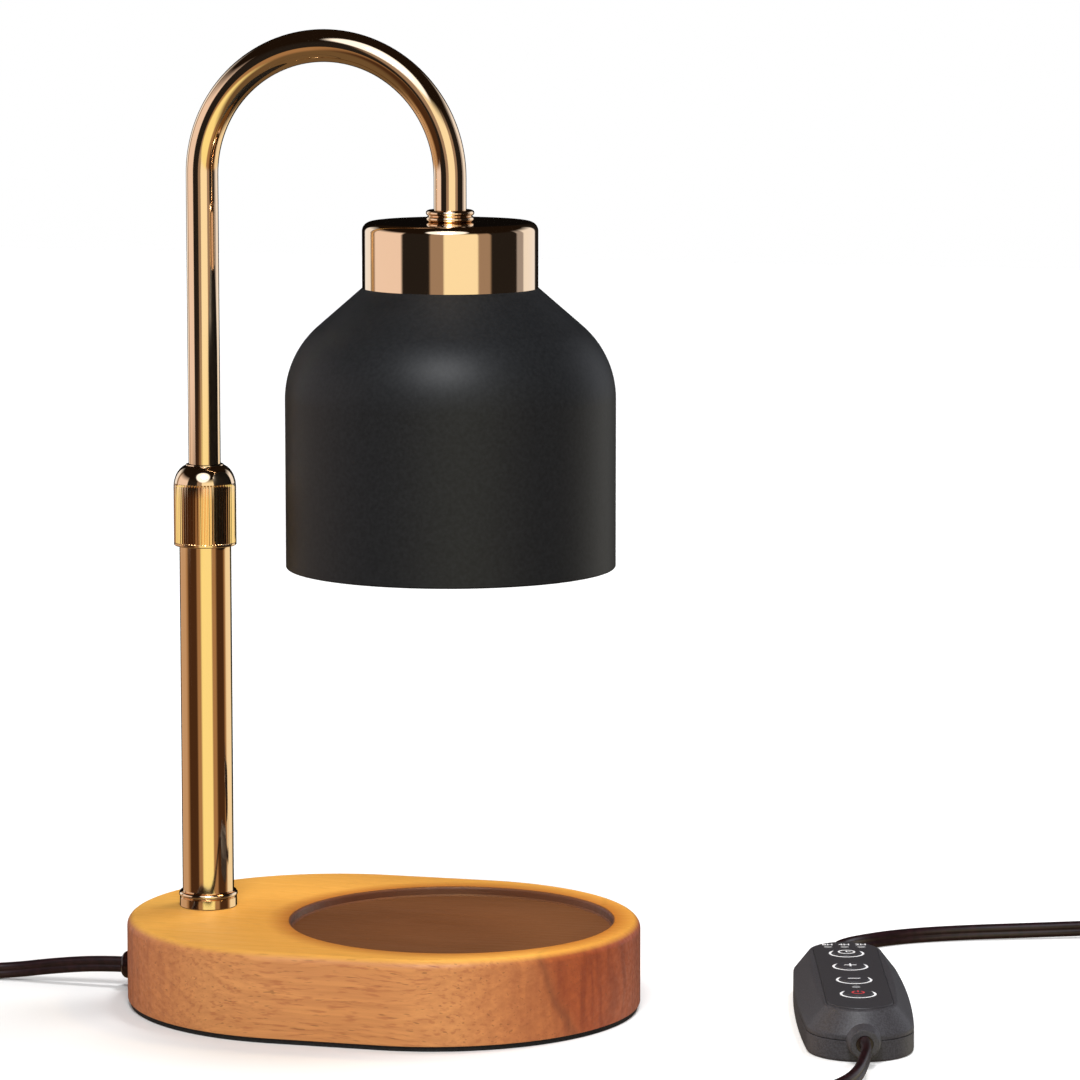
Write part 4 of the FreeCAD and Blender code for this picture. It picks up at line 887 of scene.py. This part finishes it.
def push_button(name, y):
    profile = [(0.0, 12.5), (4.5, 12.5), (4.5, 15.2)] + arc((4.2, 15.2), 0.3, 0, 90, 4) + [(0.0, BUTTON_TOP)]
    button = turned(name + "_button_cap", profile, (0.0, y, 0.0), steps=72)
    button.data.materials.append(button_abs)
    top = BUTTON_TOP
    if name == "timer":
        marks = [ring_mark("clock_ring", y, 2.15, 2.7, top, white_ink),
                 flat_mark("clock_hand_up", bar(-0.22, 0.22, y - 0.2, y + 1.5), white_ink, top),
                 flat_mark("clock_hand_right", bar(-0.22, 1.2, y - 0.22, y + 0.22), white_ink, top + 0.005)]
    elif name == "brighter":
        marks = [flat_mark("plus_bar_across", bar(-1.9, 1.9, y - 0.28, y + 0.28), white_ink, top),
                 flat_mark("plus_bar_up", bar(-0.28, 0.28, y - 1.9, y + 1.9), white_ink, top + 0.005)]
    elif name == "dimmer":
        marks = [flat_mark("minus_bar", bar(-1.9, 1.9, y - 0.28, y + 0.28), white_ink, top)]
    else:
        horseshoe = arc((0.0, y), 2.0, 122, 418, 28) + arc((0.0, y), 1.45, 418, 122, 28)
        marks = [flat_mark("power_horseshoe", horseshoe, red_ink, top),
                 flat_mark("power_bar", bar(-0.27, 0.27, y + 0.3, y + 2.35), red_ink, top)]
    return joined(button, *marks)


def label(words, x, y, height):
    """A printed word: the text is made into a mesh, then a thin plate."""
    bpy.ops.object.select_all(action="DESELECT")
    bpy.ops.object.text_add(location=mm(x, y, height))
    text = bpy.context.active_object
    text.data.body = words
    text.data.size = 0.0029
    text.data.align_x = "CENTER"
    text.data.align_y = "CENTER"
    text.data.extrude = 0.000015
    text.data.offset = 0.00003
    bpy.ops.object.convert(target="MESH")
    bpy.ops.object.transform_apply(location=True, rotation=True, scale=True)
    text = bpy.context.active_object
    text.data.materials.clear()
    text.data.materials.append(white_ink)
    return text


def panel_marks():
    rings = [ring_mark("ring_round_" + name, y, 4.78, 5.5, PANEL_TOP, white_ink)
             for name, y in BUTTONS.items()]
    words = [label(hour, x, 42.0, 15.015) for hour, x in (("8H", -5.2), ("4H", 0.0), ("2H", 5.2))]
    return joined(rings[0], *rings[1:], *words)


controller_pieces = [
    on_controller(lower_shell(), housing_abs, "stand", "black_plastic", "controller_bottom_shell"),
    on_controller(upper_shell(), housing_abs, "stand", "black_plastic", "controller_top_shell"),
    on_controller(face_panel(), panel_abs, "stand", "black_plastic", "controller_face_panel"),
]
for button_name, button_y in BUTTONS.items():
    controller_pieces.append(on_controller(push_button(button_name, button_y), button_abs,
                                           button_name + "_button", "black_plastic", button_name + "_button"))
marks = panel_marks()
marks.name = "printed_marks"
controller_pieces.append(on_controller(marks, white_ink, "stand", "black_plastic"))


def light_windows():
    windows = []
    for x, y in LIGHTS:
        profile = [(0.0, 12.0), (1.33, 12.0), (1.33, 14.95), (1.15, 15.08), (0.0, 15.1)]
        windows.append(turned("light_window", profile, (x, y, 0.0), steps=32))
    return joined(*windows)


windows = light_windows()
windows.name = "indicator_windows"
controller_pieces.append(on_controller(windows, light_pipe, "stand", "light_pipe", "indicator_lights"))


def far_bush():
    """The moulded block where the cord leaves the housing's far end."""
    half_x, half_z, corner = 6.7, 4.5, 2.6
    outline = []
    for cx, cz, start in ((1, -1, 270), (1, 1, 0), (-1, 1, 90), (-1, -1, 180)):
        outline += arc((cx * (half_x - corner), cz * (half_z - corner)), corner, start, start + 90, 6)
    bush = block("cord_bush_far", [mm(x, 50.0, 7.0 + z) for x, z in outline], mm(0, 8.0, 0))
    face_outwards()
    pick_edges(bush, lambda co: abs(co.y - 58.0) < 0.002)
    round_edges(1.0, 4)
    bpy.ops.object.mode_set(mode="OBJECT")
    cut(bush, turned("cord_hole", rod(2.6, -5.0, 12.0), (0.0, 52.0, 7.0), axis="Y", steps=32))
    return even_light(leave_edit(bush))


near_bush_profile = [(2.6, -52.0), (3.3, -52.0), (3.3, -54.2), (4.9, -54.2), (5.2, -54.5), (4.6, -58.6),
                     (4.2, -59.1), (3.8, -59.2), (2.6, -59.2)]
near_bush = turned("cord_bush_near", near_bush_profile, (0.0, 0.0, 7.0), axis="Y", steps=48)
controller_pieces.append(on_controller(far_bush(), housing_abs, "stand", "black_plastic", "rear_bush"))
controller_pieces.append(on_controller(near_bush, housing_abs, "stand", "black_plastic", "front_bush"))


# Better finishes for the solids that stay

for node_name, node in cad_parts.items():
    if node.hide_render or not node.data or not node.data.materials:
        continue
    for index, material in enumerate(node.data.materials):
        for slot_name, better in slot_materials.items():
            if material and slot_name in material.name:
                node.material_slots[index].material = better


# Floor, room and lights

def floor():
    bpy.ops.object.select_all(action="DESELECT")
    bpy.ops.mesh.primitive_plane_add(size=6.0, location=(0, 0, 0))
    plane = bpy.context.active_object
    plane.name = "studio_floor"
    material, tree = new_material("white_studio_floor")
    chalk = add(tree, "ShaderNodeBsdfDiffuse", {"Color": grey(0.82)})
    path = add(tree, "ShaderNodeLightPath")
    # The floor glows a little away from the front of the lamp, like a sweep lit from below.
    sweep = spread(tree, reach_from(tree, object_coordinates(tree), 50.0, 60.0), 0.1, 0.21, 0.0, 0.36)
    glow = maths(tree, "MULTIPLY", i0=sweep, i1=path.outputs["Is Camera Ray"])
    lift = add(tree, "ShaderNodeEmission", {"Color": grey(1.0)}, Strength=glow)
    both = add(tree, "ShaderNodeAddShader", i0=chalk, i1=lift)
    # What shines sees the screens of the room in place of the floor.
    clear = add(tree, "ShaderNodeBsdfTransparent")
    whole = add(tree, "ShaderNodeMixShader", Fac=path.outputs["Is Glossy Ray"], i1=both, i2=clear)
    add(tree, "ShaderNodeOutputMaterial", Surface=whole)
    plane.data.materials.append(material)


def room():
    """A white room for the eye, soft light for the surfaces, and tall cream and dark screens all round for
    what shines."""
    world = bpy.data.worlds.new("studio_room")
    bpy.context.scene.world = world
    world.use_nodes = True
    tree = world.node_tree
    tree.nodes.clear()
    way = add(tree, "ShaderNodeTexCoord").outputs["Generated"]
    # The screens' bearings are counted from the side of the room that faces the lamp's front in this view.
    turn = {"vector_type": "VECTOR", "Rotation": (0, 0, math.radians(-VIEW_YAW))}
    turned_way = add(tree, "ShaderNodeMapping", turn, Vector=way)
    parts = add(tree, "ShaderNodeSeparateXYZ", Vector=turned_way)
    toward = maths(tree, "MULTIPLY", None, -1.0, i0=parts.outputs["Y"])
    bearing = maths(tree, "ARCTAN2", i0=parts.outputs["X"], i1=toward)
    share = maths(tree, "MULTIPLY_ADD", None, 1 / (2 * math.pi), 0.5, i0=bearing)
    black, dark, brown, haze = paint("#0C0907"), paint("#242120"), paint("#9E8B7C"), paint("#A09EA5")
    cream, peach, pale = paint("#FFF9DC"), paint("#EFE1E0"), paint("#F2F6FF")
    umber, honey, tan = paint("#48301F"), paint("#A5825D"), paint("#C4A689")
    golden, straw = paint("#FFF6B0"), paint("#F5EBCE")
    # Each screen is a pair of bearings in degrees with one colour, and the gaps between them blend.
    level_bands = [(-180, black), (-149, black), (-146, pale), (-128, pale), (-125, brown), (-117, brown),
                   (-114, peach), (-67, peach), (-64, dark), (-27, dark), (-24, brown), (-8.5, brown),
                   (-6.5, cream), (36.5, cream), (39, brown), (54, brown), (57, dark), (97, dark),
                   (100, haze), (111, haze), (114, pale), (145, pale), (149, dark), (180, black)]
    low_bands = [(-180, black), (-150, black), (-144, tan), (-100, tan), (-88, honey), (-78, umber),
                 (-40, umber), (-33, honey), (-22, honey), (-14, golden), (27, golden), (33, honey),
                 (46, honey), (54, umber), (86, umber), (96, honey), (106, straw), (140, straw),
                 (150, black), (180, black)]
    level, low = (ramp(tree, [((angle + 180) / 360, colour) for angle, colour in bands], share)
                  for bands in (level_bands, low_bands))
    # Lower down the screens are warmer, overhead it is dark but for one round softbox, and far under the
    # horizon there is a brown floor.
    height = maths(tree, "MULTIPLY_ADD", None, 0.5, 0.5, i0=parts.outputs["Z"])
    lowness = ramp(tree, [(0.435, grey(1.0)), (0.4525, grey(0.0))], height)
    screens = add(tree, "ShaderNodeMix", {"data_type": "RGBA"}, i0=lowness, i6=level, i7=low)
    overhead = ramp(tree, [(0.0, grey(1.0)), (0.66, grey(1.0)), (0.78, grey(0.0))], height)
    below = ramp(tree, [(0.2, grey(1.0)), (0.3, grey(0.0))], height)
    capped = add(tree, "ShaderNodeMix", {"data_type": "RGBA", 6: paint("#1C140E")}, i0=overhead,
                 i7=screens.outputs[2])
    floored = add(tree, "ShaderNodeMix", {"data_type": "RGBA", 7: paint("#6E5A40")}, i0=below,
                  i6=capped.outputs[2])
    toward_box = add(tree, "ShaderNodeVectorMath", {"operation": "DOT_PRODUCT", 1: (-0.05, -0.705, 0.707)},
                     i0=turned_way)
    box_face = ramp(tree, [(0.905, grey(0.0)), (0.935, grey(1.0))], toward_box.outputs["Value"])
    shining = add(tree, "ShaderNodeMix", {"data_type": "RGBA", 7: (1.3, 1.45, 1.7, 1.0)}, i0=box_face,
                  i6=floored.outputs[2])
    path = add(tree, "ShaderNodeLightPath")
    soft = add(tree, "ShaderNodeBackground", {"Color": grey(1.0), "Strength": 0.42})
    for_shine = add(tree, "ShaderNodeBackground", {"Strength": 1.05}, Color=shining.outputs[2])
    white = add(tree, "ShaderNodeBackground", {"Color": grey(1.0), "Strength": 1.0})
    lit = add(tree, "ShaderNodeMixShader", Fac=path.outputs["Is Glossy Ray"], i1=soft, i2=for_shine)
    seen = maths(tree, "MAXIMUM", i0=path.outputs["Is Camera Ray"], i1=path.outputs["Is Transmission Ray"])
    whole = add(tree, "ShaderNodeMixShader", Fac=seen, i1=lit, i2=white)
    add(tree, "ShaderNodeOutputWorld", Surface=whole)


def round_light(name, place, aim, size, energy):
    """A round soft light, which also shows in what is polished."""
    data = bpy.data.lights.new(name, "AREA")
    data.shape = "DISK"
    data.size = size
    data.energy = energy
    obj = new_object(name, data)
    obj.location = place
    obj.rotation_euler = (Vector(aim) - Vector(place)).to_track_quat("-Z", "Y").to_euler()


def wide_light(name, place, spread, strength):
    """Even light from one side, alike near and far, which doesn't show in what is polished."""
    data = bpy.data.lights.new(name, "SUN")
    data.angle = math.radians(spread)
    data.energy = strength
    obj = new_object(name, data)
    obj.rotation_euler = (-Vector(place)).to_track_quat("-Z", "Y").to_euler()
    obj.visible_glossy = False


def bulb_glow():
    """The bulb's own warm light, which moves with the arm."""
    data = bpy.data.lights.new("warm_bulb", "SPOT")
    data.energy = 0.35
    data.color = paint("#FFD08A")[:3]
    data.spot_size = math.radians(120)
    data.spot_blend = 0.8
    data.shadow_soft_size = 0.02
    obj = new_object("warm_bulb", data)
    obj.location = mm(SHADE_X, 0.0, 156.0)
    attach(obj, "arm")


floor()
room()
wide_light("skylight_behind", (0.2, 0.22, 1.0), 12.0, 1.35)
wide_light("front_fill", (-0.1, -1.0, 0.8), 60.0, 0.15)
round_light("round_softbox", (0.18, -0.83, 1.05), (0.0, 0.0, 0.2), 0.42, 10.0)
bulb_glow()

bpy.context.scene.view_settings.view_transform = "Standard"
